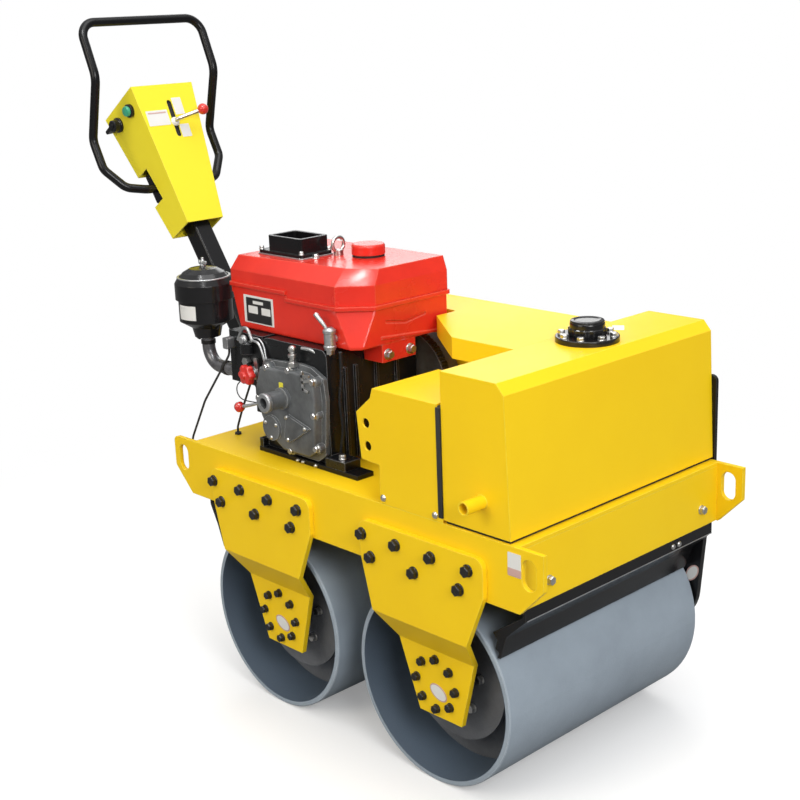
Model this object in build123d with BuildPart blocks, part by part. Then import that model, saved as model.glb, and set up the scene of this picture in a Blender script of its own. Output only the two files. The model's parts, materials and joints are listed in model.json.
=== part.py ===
from build123d import *
from math import cos, sin, radians
import os

os.makedirs("parts", exist_ok=True)

# Walk-behind double drum road roller, in millimetres.
# +X is forward, +Y the machine's left, +Z up. The origin is on the floor, midway between the drum axles.
# The near side is -Y: the carriers there are plain. The far side is +Y: the drive side.

# Drums
DRUM_RADIUS = 212.5
DRUM_WALL = 12
RIM_CHAMFER = 2
RIM_NEAR = -308
RIM_FAR = 304
WHEELBASE = 498
WEB_INSET = 118
WEB_PLATE = 10
HUB_INSET = 66
HUB_DISC_RADIUS = 139
HUB_DISC_PLATE = 8
HUB_TUBE_RADIUS = 62
STUB_RADIUS = 30
STUB_REACH = 40
RUNNING_GAP = 0.05
FIT_GAP = 0.1
MOVING_GAP = 5

# Frame
FRAME_NEAR = -335
FRAME_FAR = 309
SIDE_PLATE = 10
FRAME_BOTTOM = 460
DECK_TOP = 590
DECK_PLATE = 8
FRAME_MID_X = 6.5
BEAM_FRONT_X = 510
BEAM_REAR_X = -485
LUG_REACH = 566
LUG_CORNER_REACH = 508
LUG_TIP_LOW = 519
LUG_ROUND = 26
SLOT_INSET = 34
SLOT_WIDTH = 34
SLOT_LENGTH = 62
SLOT_Z = 543

# Near side hangers
HANGER_PLATE = 12
HANGER_TOP = 548
HANGER_BEND_HIGH = 357
HANGER_BEND_LOW = 287
HANGER_BOTTOM = 140
HANGER_LOW_OUTER = -295
HANGER_ROUND = 22
HANGER_BLANK = 400
CARRIER_RADIUS = 74
CARRIER_PLATE = 12
CARRIER_BOSS_RADIUS = 46

# Far side drive plate, gear case and guard panel
DRIVE_TOP_Z = 560
DRIVE_BOTTOM_Z = 90
DRIVE_TOP_REACH = 483
DRIVE_MID_REACH = 450
DRIVE_MID_Z = 235
DRIVE_CORNER_RADIUS = 90
GEAR_CASE_DEPTH = 36
GEAR_CASE_RADIUS = 84
GEAR_CASE_TOP_RADIUS = 62
GEAR_CASE_TOP_Z = 440
GEAR_CASE_ROUND = 8
PANEL_TOP = 774
PANEL_REAR_X = 110
PANEL_FRONT_X = 496
PANEL_PLATE = 8

# Scrapers
BLADE_ANGLE = 34
SCRAPER_PLATE = 7
SCRAPER_FOLD_OUT = 51
SCRAPER_SIDE_GAP = 3
SCRAPER_TOP_Z = 430
ARM_PLATE = 6

# Water tank and belt cover
TANK_REAR_X = 322
TANK_FRONT_X = 492
TANK_FRONT_TOP_X = 480
TANK_CHAMFER_X = 462
TANK_CHAMFER_Z = 869
TANK_TOP = 890
TANK_NEAR = -332
TANK_FAR = 308
STRIP_THICK = 6
STRIP_WIDTH = 30
STRIP_INSET = 4
SPIGOT_X = 422
SPIGOT_Z = 657
SPIGOT_RADIUS = 13.5
SPIGOT_BORE = 10.5
SPIGOT_LENGTH = 50
SPIGOT_BORE_DEPTH = 90
FILLER_X = 386
FILLER_Y = 20
FILLER_FLANGE_RADIUS = 64
FILLER_FLANGE_THICK = 11
FILLER_CAP_RADIUS = 35
FILLER_CAP_HEIGHT = 30
COVER_BLOCK_X = 200
COVER_NEAR = -125
COVER_FAR = 178
COVER_GAP = 0.5
HOOD_BOTTOM = 845
HOOD_REAR_X = 153
HOOD_MEETS_ARM_X = -111
HOOD_CLEAR = 12
HOOD_SLANT_FAR = -2
ARM_REAR_X = -340
ARM_NEAR = 72
ARM_BOTTOM = 660
ARM_ROUND = 70

# Side guard in front of the engine
GUARD_SHEET = 4
GUARD_FAR = -150
GUARD_TOP = 825
GUARD_ROOF_REAR_X = 137
GUARD_ROOF_FRONT_X = 312
GUARD_HOLE_RADIUS = 10

# Engine
RAIL_HEIGHT = 10
RAIL_WIDTH = 46
RAIL_REAR_X = -312
RAIL_FRONT_X = 14
RAIL_NEAR_Y = -252
RAIL_FAR_Y = -52
CASE_REAR_X = -300
CASE_FRONT_X = -86
CASE_NEAR = -258
CASE_FAR = 4
CASE_RIBS_Y = (-210, -180, -120, -60)
CASE_RIB_DEPTH = 8
CASE_RIB_WIDTH = 7
CASE_RIB_HEIGHT = 206
FOOT_REACH = 62
REAR_FOOT_REACH = 12
FOOT_WIDTH = 44
FOOT_THICK = 20
COVER_PLATE_NEAR = -290
GEAR_COVER_CORNER = 8
GEAR_FLANGE_THICK = 10
GEAR_FLANGE_EDGE = 13
GEAR_BOSS_RADIUS = 10
GEAR_BOSS_HEIGHT = 24
GOVERNOR_LID = (-239, 661)
GOVERNOR_LID_RADIUS = 28
SMALL_LID_THICK = 7
STARTING_BOSS = (-196, 736)
STARTING_BOSS_RADIUS = 20
STARTING_BOSS_LENGTH = 56
STARTING_BORE_RADIUS = 12
STARTING_BORE_DEPTH = 40
CRANK_X = -128
CRANK_Z = 720
CRANK_RADIUS = 22
FLYWHEEL_RADIUS = 119
FLYWHEEL_WIDTH = 50
FLYWHEEL_DISH = 26
FLYWHEEL_DISH_RADIUS = 86
PULLEY_RADIUS = 48
MUFFLER_X = -366
MUFFLER_RADIUS = 46
MUFFLER_BOTTOM = 650
MUFFLER_HEIGHT = 176
MUFFLER_STAND_OFF = 62
MUFFLER_NECK_RADIUS = 20
MUFFLER_NECK_Z = 742
FLYWHEEL_GAP = 12
HEAD_REAR_X = -430
HEAD_NEAR = -190
HEAD_FAR = -50
HEAD_BOTTOM = 640
HOUSING_REAR_X = -420
HOUSING_BOTTOM = 732
HOPPER_NEAR = -228
HOPPER_FAR = 46
HOPPER_REAR_X = -438
HOPPER_REAR_BOTTOM_X = -417
HOPPER_FRONT_X = -24
HOPPER_BOTTOM = 850
HOPPER_LIP_Z = 945
HOPPER_LIP = 5
HOPPER_CORNER = 18
HOPPER_ROUND = 6
HOPPER_LIP_THICK = 9
LIP_STEP = 15
LIP_STEP_X = -245
PRESSED_DEPTH = 2.5
PRESSED_WIDTH = 6
FOOT_BACK_X = -84
FOOT_FRONT_X = -26
HOPPER_FOOT_Y = -104
HOPPER_FOOT_WIDTH = 98
HOPPER_FOOT_TOP = 10
HOPPER_FOOT_DROP = 38
LID_TOP = 1014
LID_SHOULDER = 982
LID_CORNER_CUT = 60
FUNNEL_X = -318
FUNNEL_Y = -135
FUNNEL_LONG = 150
FUNNEL_WIDE = 92
FUNNEL_FLANGE = 10
FUNNEL_HEIGHT = 34
FUNNEL_WALL = 8
MOUTH_X = -307
MOUTH_LONG = 114
MOUTH_WIDE = 82
EYE_X = -226
EYE_Y = -88
EYE_FOOT = 8
EYE_FOOT_RADIUS = 11
EYE_RING = 16
EYE_WIRE = 4
FUEL_CAP_X = -163
FUEL_CAP_Y = -56
FUEL_CAP_RADIUS = 37
FUEL_CAP_HEIGHT = 28
FUEL_NECK = 5
COCK_X = -88
COCK_Z = 872
COCK_RADIUS = 12
COCK_STEM_RADIUS = 8
COCK_STAND_OFF = 16
COCK_HEIGHT = 44
FILTER_X = -523
FILTER_Y = -243
FILTER_RADIUS = 68
FILTER_BASE = 818
FILTER_BAND_HEIGHT = 90
FILTER_BAND_WIDTH = 36
DOME_SEAM_HEIGHT = 14
DOME_HEIGHT = 24
ELBOW_RADIUS = 15
ELBOW_DROP = 67
ELBOW_BEND = 44

# Control cables
CABLE_RADIUS = 2.5
CLAMP_LONG = 20
CLAMP_WIDE = 18
CLAMP_HIGH = 26
GROMMET_THICK = 5

# Handle
HANDLE_Y = -13.5
HANDLE_TILT = 34
PIVOT_X = -540
PIVOT_Z = 541.7
PIN_RADIUS = 10
EAR_PLATE = 10
EAR_GAP = 1
BRACKET_BASE = 8
COLUMN_SIZE = 50
COLUMN_WALL = 4
COLUMN_TAIL = 28
CONSOLE_LOW = 563
CONSOLE_HIGH = 921
CONSOLE_WALL = 3
CONSOLE_NOTCH_LOW = 657
CONSOLE_NOTCH_HIGH = 745
CONSOLE_NOTCH_FRONT = 2
CONSOLE_NOTCH_CUT = 110
LOOP_RADIUS = 11
LOOP_HALF_WIDTH = 180
LOOP_GAP = 0.3
LEVER_ALONG = 822
LEVER_SLOT_LEAD = 9
LEVER_SHIFT = 5
LEVER_RADIUS = 5
LEVER_BEND_REACH = 102
LEVER_SLOT_WIDTH = 14
LEVER_SLOT_LENGTH = 96
KNOB_REACH = 140
KNOB_SHIFT = 64
KNOB_RADIUS = 14

FRONT_AXLE_X = WHEELBASE / 2
AXLE_Z = DRUM_RADIUS
DECK_UNDER = DECK_TOP - DECK_PLATE
SHELL_INNER = DRUM_RADIUS - DRUM_WALL
WEB_RADIUS = SHELL_INNER - FIT_GAP
HANGER_LOW_INNER = HANGER_LOW_OUTER + HANGER_PLATE
DRIVE_INNER = FRAME_FAR
DRIVE_OUTER = DRIVE_INNER + HANGER_PLATE
CASE_TOP = HOPPER_BOTTOM - FIT_GAP
LID_LONG = HOPPER_FRONT_X - HOPPER_REAR_X
LID_WIDE = HOPPER_FAR - HOPPER_NEAR


def xz_plane(y):
    """A sketch plane at y whose local x is +X and local y is +Z; extruding goes towards -Y."""
    return Plane((0, y, 0), x_dir=(1, 0, 0), z_dir=(0, -1, 0))


def save(block, name):
    """Label a finished piece and write it to its own file."""
    block.part.label = name
    export_step(block.part, f"parts/{name}.step")


# Side plates: long flat plates with a rounded lashing lug and a slot at each end
for name, y_outer, inward in (("side_plate_near", FRAME_NEAR, -1), ("side_plate_far", FRAME_FAR, 1)):
    with BuildPart() as side_plate:
        with BuildSketch(xz_plane(y_outer)):
            with BuildLine():
                Polyline(
                    (FRAME_MID_X - LUG_CORNER_REACH, FRAME_BOTTOM),
                    (FRAME_MID_X + LUG_CORNER_REACH, FRAME_BOTTOM),
                    (FRAME_MID_X + LUG_REACH, LUG_TIP_LOW),
                    (FRAME_MID_X + LUG_REACH, DECK_TOP),
                    (FRAME_MID_X - LUG_REACH, DECK_TOP),
                    (FRAME_MID_X - LUG_REACH, LUG_TIP_LOW),
                    close=True,
                )
            outline = make_face()
            fillet(outline.vertices().group_by(Axis.X)[0], LUG_ROUND / 2)
            fillet(outline.vertices().sort_by(Axis.X)[-2:], LUG_ROUND / 2)
            with Locations(*[(FRAME_MID_X + side * (LUG_REACH - SLOT_INSET), SLOT_Z) for side in (-1, 1)]):
                SlotOverall(SLOT_LENGTH, SLOT_WIDTH, rotation=90, mode=Mode.SUBTRACT)
        extrude(amount=inward * SIDE_PLATE)
    save(side_plate, name)

# Deck and the two cross beams under its ends
INNER_NEAR = FRAME_NEAR + SIDE_PLATE
INNER_FAR = FRAME_FAR - SIDE_PLATE
INNER_WIDTH = INNER_FAR - INNER_NEAR
INNER_MID = (INNER_FAR + INNER_NEAR) / 2

with BuildPart() as deck_plate:
    with BuildSketch(Plane.XY.offset(DECK_UNDER)):
        with Locations(((BEAM_FRONT_X + BEAM_REAR_X) / 2, INNER_MID)):
            Rectangle(BEAM_FRONT_X - BEAM_REAR_X, INNER_WIDTH)
    extrude(amount=DECK_PLATE)
save(deck_plate, "deck_plate")

for name, x_outer, inward in (("front_beam", BEAM_FRONT_X, -1), ("rear_beam", BEAM_REAR_X, 1)):
    with BuildPart() as beam:
        with BuildSketch(Plane((x_outer, 0, 0), x_dir=(0, 1, 0), z_dir=(1, 0, 0))):
            with Locations((INNER_MID, (FRAME_BOTTOM + DECK_UNDER) / 2)):
                Rectangle(INNER_WIDTH, DECK_UNDER - FRAME_BOTTOM)
        extrude(amount=inward * DECK_PLATE)
    save(beam, name)

# Near side hangers: one plate each, cranked inwards below the frame so that its foot is in the drum's mouth.
# Columns: distance from the axle along X, height.
HANGER_OUTLINE = (
    (-158, HANGER_TOP),
    (-154, 470),
    (-128, 366),
    (-104, HANGER_BEND_LOW),
    (-49, HANGER_BOTTOM),
    (69, HANGER_BOTTOM),
    (107, HANGER_BEND_LOW),
    (138, HANGER_BEND_HIGH),
    (185, 470),
    (185, HANGER_TOP),
)
for name, axle_x in (("hanger_near_front", FRONT_AXLE_X), ("hanger_near_rear", -FRONT_AXLE_X)):
    with BuildPart() as hanger:
        with BuildSketch(Plane((axle_x - HANGER_BLANK / 2, 0, 0), x_dir=(0, 1, 0), z_dir=(1, 0, 0))):
            with BuildLine():
                Polyline(
                    (FRAME_NEAR - HANGER_PLATE, HANGER_TOP),
                    (FRAME_NEAR - HANGER_PLATE, HANGER_BEND_HIGH),
                    (HANGER_LOW_OUTER, HANGER_BEND_LOW),
                    (HANGER_LOW_OUTER, HANGER_BOTTOM),
                    (HANGER_LOW_INNER, HANGER_BOTTOM),
                    (HANGER_LOW_INNER, HANGER_BEND_LOW),
                    (FRAME_NEAR, HANGER_BEND_HIGH),
                    (FRAME_NEAR, HANGER_TOP),
                    close=True,
                )
            make_face()
        extrude(amount=HANGER_BLANK)
        with BuildSketch(xz_plane(HANGER_LOW_INNER + HANGER_PLATE)):
            with BuildLine():
                Polyline(*[(axle_x + dx, z) for dx, z in HANGER_OUTLINE], close=True)
            outline = make_face()
            fillet(outline.vertices().group_by(Axis.Y)[-1], HANGER_ROUND)
        extrude(amount=HANGER_BLANK, mode=Mode.INTERSECT)
    save(hanger, name)

# Bearing carriers: a flange on the hanger or drive plate, a boss and the stub axle that the hub turns on
STUB_GAP = 2
for place, axle_x in (("front", FRONT_AXLE_X), ("rear", -FRONT_AXLE_X)):
    for side, face, inward, rim in (("near", HANGER_LOW_INNER, 1, RIM_NEAR), ("far", DRIVE_INNER, -1, RIM_FAR)):
        hub_face = rim + inward * HUB_INSET
        with BuildPart() as carrier:
            with BuildSketch(Plane((axle_x, face, AXLE_Z), x_dir=(1, 0, 0), z_dir=(0, inward, 0))):
                Circle(CARRIER_RADIUS)
            extrude(amount=CARRIER_PLATE)
            with BuildSketch(Plane((axle_x, face, AXLE_Z), x_dir=(1, 0, 0), z_dir=(0, inward, 0))):
                Circle(CARRIER_BOSS_RADIUS)
            extrude(amount=abs(hub_face - face) - MOVING_GAP)
            with BuildSketch(Plane((axle_x, face, AXLE_Z), x_dir=(1, 0, 0), z_dir=(0, inward, 0))):
                Circle(STUB_RADIUS)
            extrude(amount=abs(hub_face - face) + STUB_REACH)
        save(carrier, f"stub_axle_{side}_{place}")

# Far side: one thick black plate carries both drums, with the closed gear case outside it
with BuildPart() as drive_plate:
    with BuildSketch(xz_plane(DRIVE_OUTER)):
        with BuildLine():
            Polyline(
                (FRAME_MID_X - DRIVE_TOP_REACH, DRIVE_TOP_Z),
                (FRAME_MID_X + DRIVE_TOP_REACH, DRIVE_TOP_Z),
                (FRAME_MID_X + DRIVE_MID_REACH, DRIVE_MID_Z),
                (FRAME_MID_X + DRIVE_MID_REACH - 2 * DRIVE_CORNER_RADIUS, DRIVE_BOTTOM_Z),
                (FRAME_MID_X - DRIVE_MID_REACH + 2 * DRIVE_CORNER_RADIUS, DRIVE_BOTTOM_Z),
                (FRAME_MID_X - DRIVE_MID_REACH, DRIVE_MID_Z),
                close=True,
            )
        outline = make_face()
        fillet(outline.vertices().filter_by(lambda v: v.Y < DRIVE_MID_Z + 1), DRIVE_CORNER_RADIUS)
    extrude(amount=HANGER_PLATE)
save(drive_plate, "drive_plate")

with BuildPart() as gear_case:
    with BuildSketch(xz_plane(DRIVE_OUTER)):
        with BuildLine():
            CenterArc((-FRONT_AXLE_X, AXLE_Z), GEAR_CASE_RADIUS, 0, 360)
            CenterArc((FRONT_AXLE_X, AXLE_Z), GEAR_CASE_RADIUS, 0, 360)
            CenterArc((0, GEAR_CASE_TOP_Z), GEAR_CASE_TOP_RADIUS, 0, 360)
        make_hull()
    extrude(amount=-GEAR_CASE_DEPTH)
    fillet(gear_case.faces().sort_by(Axis.Y)[-1].edges(), GEAR_CASE_ROUND)
save(gear_case, "gear_case")

with BuildPart() as guard_panel:
    with BuildSketch(xz_plane(FRAME_FAR + PANEL_PLATE)):
        with BuildLine():
            Polyline(
                (PANEL_REAR_X, DRIVE_TOP_Z + FIT_GAP),
                (PANEL_FRONT_X, DRIVE_TOP_Z + FIT_GAP),
                (PANEL_FRONT_X, PANEL_TOP),
                (PANEL_REAR_X, PANEL_TOP),
                close=True,
            )
        outline = make_face()
        fillet(outline.vertices().group_by(Axis.Y)[-1], LUG_ROUND / 2)
    extrude(amount=PANEL_PLATE)
save(guard_panel, "guard_panel")

# Drums: a rolled shell with its rims' corners taken off
for place, axle_x in (("front", FRONT_AXLE_X), ("rear", -FRONT_AXLE_X)):
    # Columns: radius, y. The shell's section, revolved about the axle.
    with BuildPart() as drum:
        with BuildSketch(Plane((axle_x, 0, AXLE_Z), x_dir=(1, 0, 0), z_dir=(0, 0, 1))):
            with BuildLine():
                Polyline(
                    (DRUM_RADIUS, RIM_NEAR + RIM_CHAMFER),
                    (DRUM_RADIUS, RIM_FAR - RIM_CHAMFER),
                    (DRUM_RADIUS - RIM_CHAMFER, RIM_FAR),
                    (SHELL_INNER, RIM_FAR),
                    (SHELL_INNER, RIM_NEAR),
                    (DRUM_RADIUS - RIM_CHAMFER, RIM_NEAR),
                    close=True,
                )
            make_face()
        revolve(axis=Axis((axle_x, 0, AXLE_Z), (0, 1, 0)))
    save(drum, f"drum_{place}")

    # The hub: a heavy tube with a web near each end, welded to the shell, and a round disc outside each web
    with BuildPart() as hub:
        with BuildSketch(Plane((axle_x, 0, AXLE_Z), x_dir=(1, 0, 0), z_dir=(0, 0, 1))):
            with BuildLine():
                Polyline(
                    (0, RIM_NEAR + HUB_INSET + STUB_REACH + STUB_GAP),
                    (STUB_RADIUS + RUNNING_GAP, RIM_NEAR + HUB_INSET + STUB_REACH + STUB_GAP),
                    (STUB_RADIUS + RUNNING_GAP, RIM_NEAR + HUB_INSET),
                    (HUB_DISC_RADIUS, RIM_NEAR + HUB_INSET),
                    (HUB_DISC_RADIUS, RIM_NEAR + HUB_INSET + HUB_DISC_PLATE),
                    (HUB_TUBE_RADIUS, RIM_NEAR + HUB_INSET + HUB_DISC_PLATE),
                    (HUB_TUBE_RADIUS, RIM_NEAR + WEB_INSET),
                    (WEB_RADIUS, RIM_NEAR + WEB_INSET),
                    (WEB_RADIUS, RIM_NEAR + WEB_INSET + WEB_PLATE),
                    (HUB_TUBE_RADIUS, RIM_NEAR + WEB_INSET + WEB_PLATE),
                    (HUB_TUBE_RADIUS, RIM_FAR - WEB_INSET - WEB_PLATE),
                    (WEB_RADIUS, RIM_FAR - WEB_INSET - WEB_PLATE),
                    (WEB_RADIUS, RIM_FAR - WEB_INSET),
                    (HUB_TUBE_RADIUS, RIM_FAR - WEB_INSET),
                    (HUB_TUBE_RADIUS, RIM_FAR - HUB_INSET - HUB_DISC_PLATE),
                    (HUB_DISC_RADIUS, RIM_FAR - HUB_INSET - HUB_DISC_PLATE),
                    (HUB_DISC_RADIUS, RIM_FAR - HUB_INSET),
                    (STUB_RADIUS + RUNNING_GAP, RIM_FAR - HUB_INSET),
                    (STUB_RADIUS + RUNNING_GAP, RIM_FAR - HUB_INSET - STUB_REACH - STUB_GAP),
                    (0, RIM_FAR - HUB_INSET - STUB_REACH - STUB_GAP),
                    close=True,
                )
            make_face()
        revolve(axis=Axis((axle_x, 0, AXLE_Z), (0, 1, 0)))
    save(hub, f"drum_hub_{place}")

# Scrapers: a bent plate behind each beam, with its lower edge just clear of the drum and an arm at each end
EDGE_RADIUS = DRUM_RADIUS + MOVING_GAP
EDGE_X = FRONT_AXLE_X + EDGE_RADIUS * cos(radians(BLADE_ANGLE))
EDGE_Z = AXLE_Z + EDGE_RADIUS * sin(radians(BLADE_ANGLE))
FOLD_X = EDGE_X + 18
FOLD_Z = EDGE_Z + SCRAPER_FOLD_OUT
SCRAPER_NEAR = RIM_NEAR + SCRAPER_SIDE_GAP
SCRAPER_LONG = INNER_FAR - SCRAPER_SIDE_GAP - SCRAPER_NEAR
# Columns: X, Z, down the end arm's scalloped edge
ARM_EDGE = (
    (EDGE_X - 11, EDGE_Z + 51),
    (EDGE_X, EDGE_Z + 37),
    (EDGE_X - 5, EDGE_Z + 18),
    (EDGE_X + 8, EDGE_Z + 9),
)
for name, forward, beam_x in (("scraper_front", 1, BEAM_FRONT_X), ("scraper_rear", -1, BEAM_REAR_X)):
    shift = 0 if forward > 0 else BEAM_FRONT_X + BEAM_REAR_X
    hang_x = BEAM_FRONT_X - DECK_PLATE - FIT_GAP - (0 if forward > 0 else BEAM_FRONT_X + BEAM_REAR_X)
    with BuildPart() as scraper:
        with BuildSketch(Plane.XZ.offset(-SCRAPER_NEAR)):
            with BuildLine():
                Polyline(
                    (forward * hang_x, DECK_UNDER),
                    (forward * hang_x, SCRAPER_TOP_Z),
                    (forward * (FOLD_X + SCRAPER_PLATE), FOLD_Z),
                    (forward * (EDGE_X + SCRAPER_PLATE), EDGE_Z),
                    (forward * EDGE_X, EDGE_Z),
                    (forward * FOLD_X, FOLD_Z),
                    (forward * (hang_x - SCRAPER_PLATE), SCRAPER_TOP_Z),
                    (forward * (hang_x - SCRAPER_PLATE), DECK_UNDER),
                    close=True,
                )
            make_face()
        extrude(amount=-SCRAPER_LONG)
        with BuildSketch(Plane.XZ.offset(-SCRAPER_NEAR)):
            with BuildLine():
                Polyline(
                    (forward * (hang_x - SCRAPER_PLATE), SCRAPER_TOP_Z + SCRAPER_PLATE),
                    *[(forward * x, z) for x, z in ARM_EDGE],
                    (forward * (FOLD_X + 1), FOLD_Z),
                    (forward * (hang_x - 1), SCRAPER_TOP_Z),
                    close=True,
                )
            make_face()
        extrude(amount=-ARM_PLATE)
        mirror(about=Plane.XZ.offset(-(SCRAPER_NEAR + SCRAPER_LONG / 2)))
    save(scraper, name)

# Water tank: folded box with a leaning front and a chamfered top edge, on a frame of rubber strip
TANK_BOTTOM = DECK_TOP + STRIP_THICK
with BuildPart() as water_tank:
    with BuildSketch(xz_plane(TANK_NEAR)):
        with BuildLine():
            Polyline(
                (TANK_REAR_X, TANK_BOTTOM),
                (TANK_FRONT_X, TANK_BOTTOM),
                (TANK_FRONT_TOP_X, TANK_CHAMFER_Z),
                (TANK_CHAMFER_X, TANK_TOP),
                (TANK_REAR_X, TANK_TOP),
                close=True,
            )
        make_face()
    extrude(amount=TANK_NEAR - TANK_FAR)
    with BuildSketch(Plane((SPIGOT_X, TANK_NEAR, SPIGOT_Z), x_dir=(1, 0, 0), z_dir=(0, -1, 0))):
        Circle(SPIGOT_RADIUS)
    extrude(amount=SPIGOT_LENGTH)
    with BuildSketch(Plane((SPIGOT_X, TANK_NEAR - SPIGOT_LENGTH, SPIGOT_Z), x_dir=(1, 0, 0), z_dir=(0, 1, 0))):
        Circle(SPIGOT_BORE)
    extrude(amount=SPIGOT_BORE_DEPTH, mode=Mode.SUBTRACT)
save(water_tank, "water_tank")

with BuildPart() as tank_strips:
    with BuildSketch(Plane.XY.offset(DECK_TOP)):
        with Locations(((TANK_REAR_X + TANK_FRONT_X) / 2, (TANK_NEAR + TANK_FAR) / 2)):
            Rectangle(TANK_FRONT_X - TANK_REAR_X - 2 * STRIP_INSET, TANK_FAR - TANK_NEAR - 2 * STRIP_INSET)
            Rectangle(
                TANK_FRONT_X - TANK_REAR_X - 2 * STRIP_INSET - 2 * STRIP_WIDTH,
                TANK_FAR - TANK_NEAR - 2 * STRIP_INSET - 2 * STRIP_WIDTH,
                mode=Mode.SUBTRACT,
            )
    extrude(amount=STRIP_THICK)
save(tank_strips, "tank_strips")

with BuildPart() as filler_flange:
    with BuildSketch(Plane((FILLER_X, FILLER_Y, TANK_TOP))):
        Circle(FILLER_FLANGE_RADIUS)
    extrude(amount=FILLER_FLANGE_THICK)
    fillet(filler_flange.faces().sort_by(Axis.Z)[-1].edges(), 2)
save(filler_flange, "filler_flange")

with BuildPart() as filler_cap:
    with BuildSketch(Plane((FILLER_X, FILLER_Y, TANK_TOP + FILLER_FLANGE_THICK))):
        Circle(FILLER_CAP_RADIUS)
    extrude(amount=FILLER_CAP_HEIGHT)
    fillet(filler_cap.faces().sort_by(Axis.Z)[-1].edges(), 7)
save(filler_cap, "filler_cap")

# Belt cover: a block behind the tank, a shallow hood with a slanting edge, and an arm outside the flywheel
# Columns: X, Y, going round the hood's top
HOOD_PLAN = (
    (TANK_REAR_X - COVER_GAP, COVER_NEAR),
    (HOOD_REAR_X, COVER_NEAR),
    (HOOD_REAR_X - 41, COVER_NEAR + 30),
    (HOPPER_FRONT_X + HOOD_CLEAR, HOOD_SLANT_FAR),
    (HOPPER_FRONT_X + HOOD_CLEAR, HOPPER_FAR + HOOD_CLEAR),
    (HOOD_MEETS_ARM_X, ARM_NEAR),
    (ARM_REAR_X + ARM_ROUND, ARM_NEAR),
    (ARM_REAR_X + ARM_ROUND, COVER_FAR),
    (TANK_REAR_X - COVER_GAP, COVER_FAR),
)
with BuildPart() as belt_cover:
    with BuildSketch(Plane.XY.offset(HOOD_BOTTOM)):
        with BuildLine():
            Polyline(*HOOD_PLAN, close=True)
        make_face()
    extrude(amount=TANK_TOP - HOOD_BOTTOM)
    with BuildSketch(Plane.XY.offset(DECK_TOP)):
        with BuildLine():
            Polyline(
                (COVER_BLOCK_X, COVER_NEAR),
                (TANK_REAR_X - COVER_GAP, COVER_NEAR),
                (TANK_REAR_X - COVER_GAP, COVER_FAR),
                (COVER_BLOCK_X, COVER_FAR),
                close=True,
            )
        make_face()
    extrude(amount=TANK_TOP - DECK_TOP)
    with BuildSketch(xz_plane(COVER_FAR)):
        with BuildLine():
            Polyline(
                (TANK_REAR_X - COVER_GAP, ARM_BOTTOM),
                (ARM_REAR_X, ARM_BOTTOM),
                (ARM_REAR_X, TANK_TOP),
                (TANK_REAR_X - COVER_GAP, TANK_TOP),
                close=True,
            )
        outline = make_face()
        fillet(outline.vertices().group_by(Axis.X)[0], ARM_ROUND)
    extrude(amount=COVER_FAR - ARM_NEAR)
save(belt_cover, "belt_cover")

# Side guard: a near panel with a cut rear corner, two holes and a flat roof, bent from one sheet
# Columns: X, Z
GUARD_OUTLINE = (
    (149, DECK_TOP + FIT_GAP),
    (149, 670),
    (98, 673),
    (88, 769),
    (130, 804),
    (GUARD_ROOF_REAR_X, GUARD_TOP),
    (GUARD_ROOF_FRONT_X, GUARD_TOP),
    (TANK_REAR_X - COVER_GAP, DECK_TOP + FIT_GAP),
)
GUARD_HOLES = ((115, 750), (118, 703))
with BuildPart() as side_guard:
    with BuildSketch(xz_plane(FRAME_NEAR + GUARD_SHEET)):
        with BuildLine():
            Polyline(*GUARD_OUTLINE, close=True)
        make_face()
        with Locations(*GUARD_HOLES):
            Circle(GUARD_HOLE_RADIUS, mode=Mode.SUBTRACT)
    extrude(amount=GUARD_SHEET)
    with BuildSketch(Plane.XY.offset(GUARD_TOP - GUARD_SHEET)):
        with BuildLine():
            Polyline(
                (GUARD_ROOF_REAR_X, FRAME_NEAR),
                (GUARD_ROOF_FRONT_X, FRAME_NEAR),
                (GUARD_ROOF_FRONT_X, GUARD_FAR),
                (GUARD_ROOF_REAR_X, GUARD_FAR),
                close=True,
            )
        make_face()
    extrude(amount=GUARD_SHEET)
save(side_guard, "side_guard")

# Engine: rails, crankcase, gear case cover, cylinder head
with BuildPart() as engine_rails:
    with BuildSketch(Plane.XY.offset(DECK_TOP)):
        with Locations(*[((RAIL_REAR_X + RAIL_FRONT_X) / 2, y) for y in (RAIL_NEAR_Y, RAIL_FAR_Y)]):
            Rectangle(RAIL_FRONT_X - RAIL_REAR_X, RAIL_WIDTH)
    extrude(amount=RAIL_HEIGHT)
save(engine_rails, "engine_rails")

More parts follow.
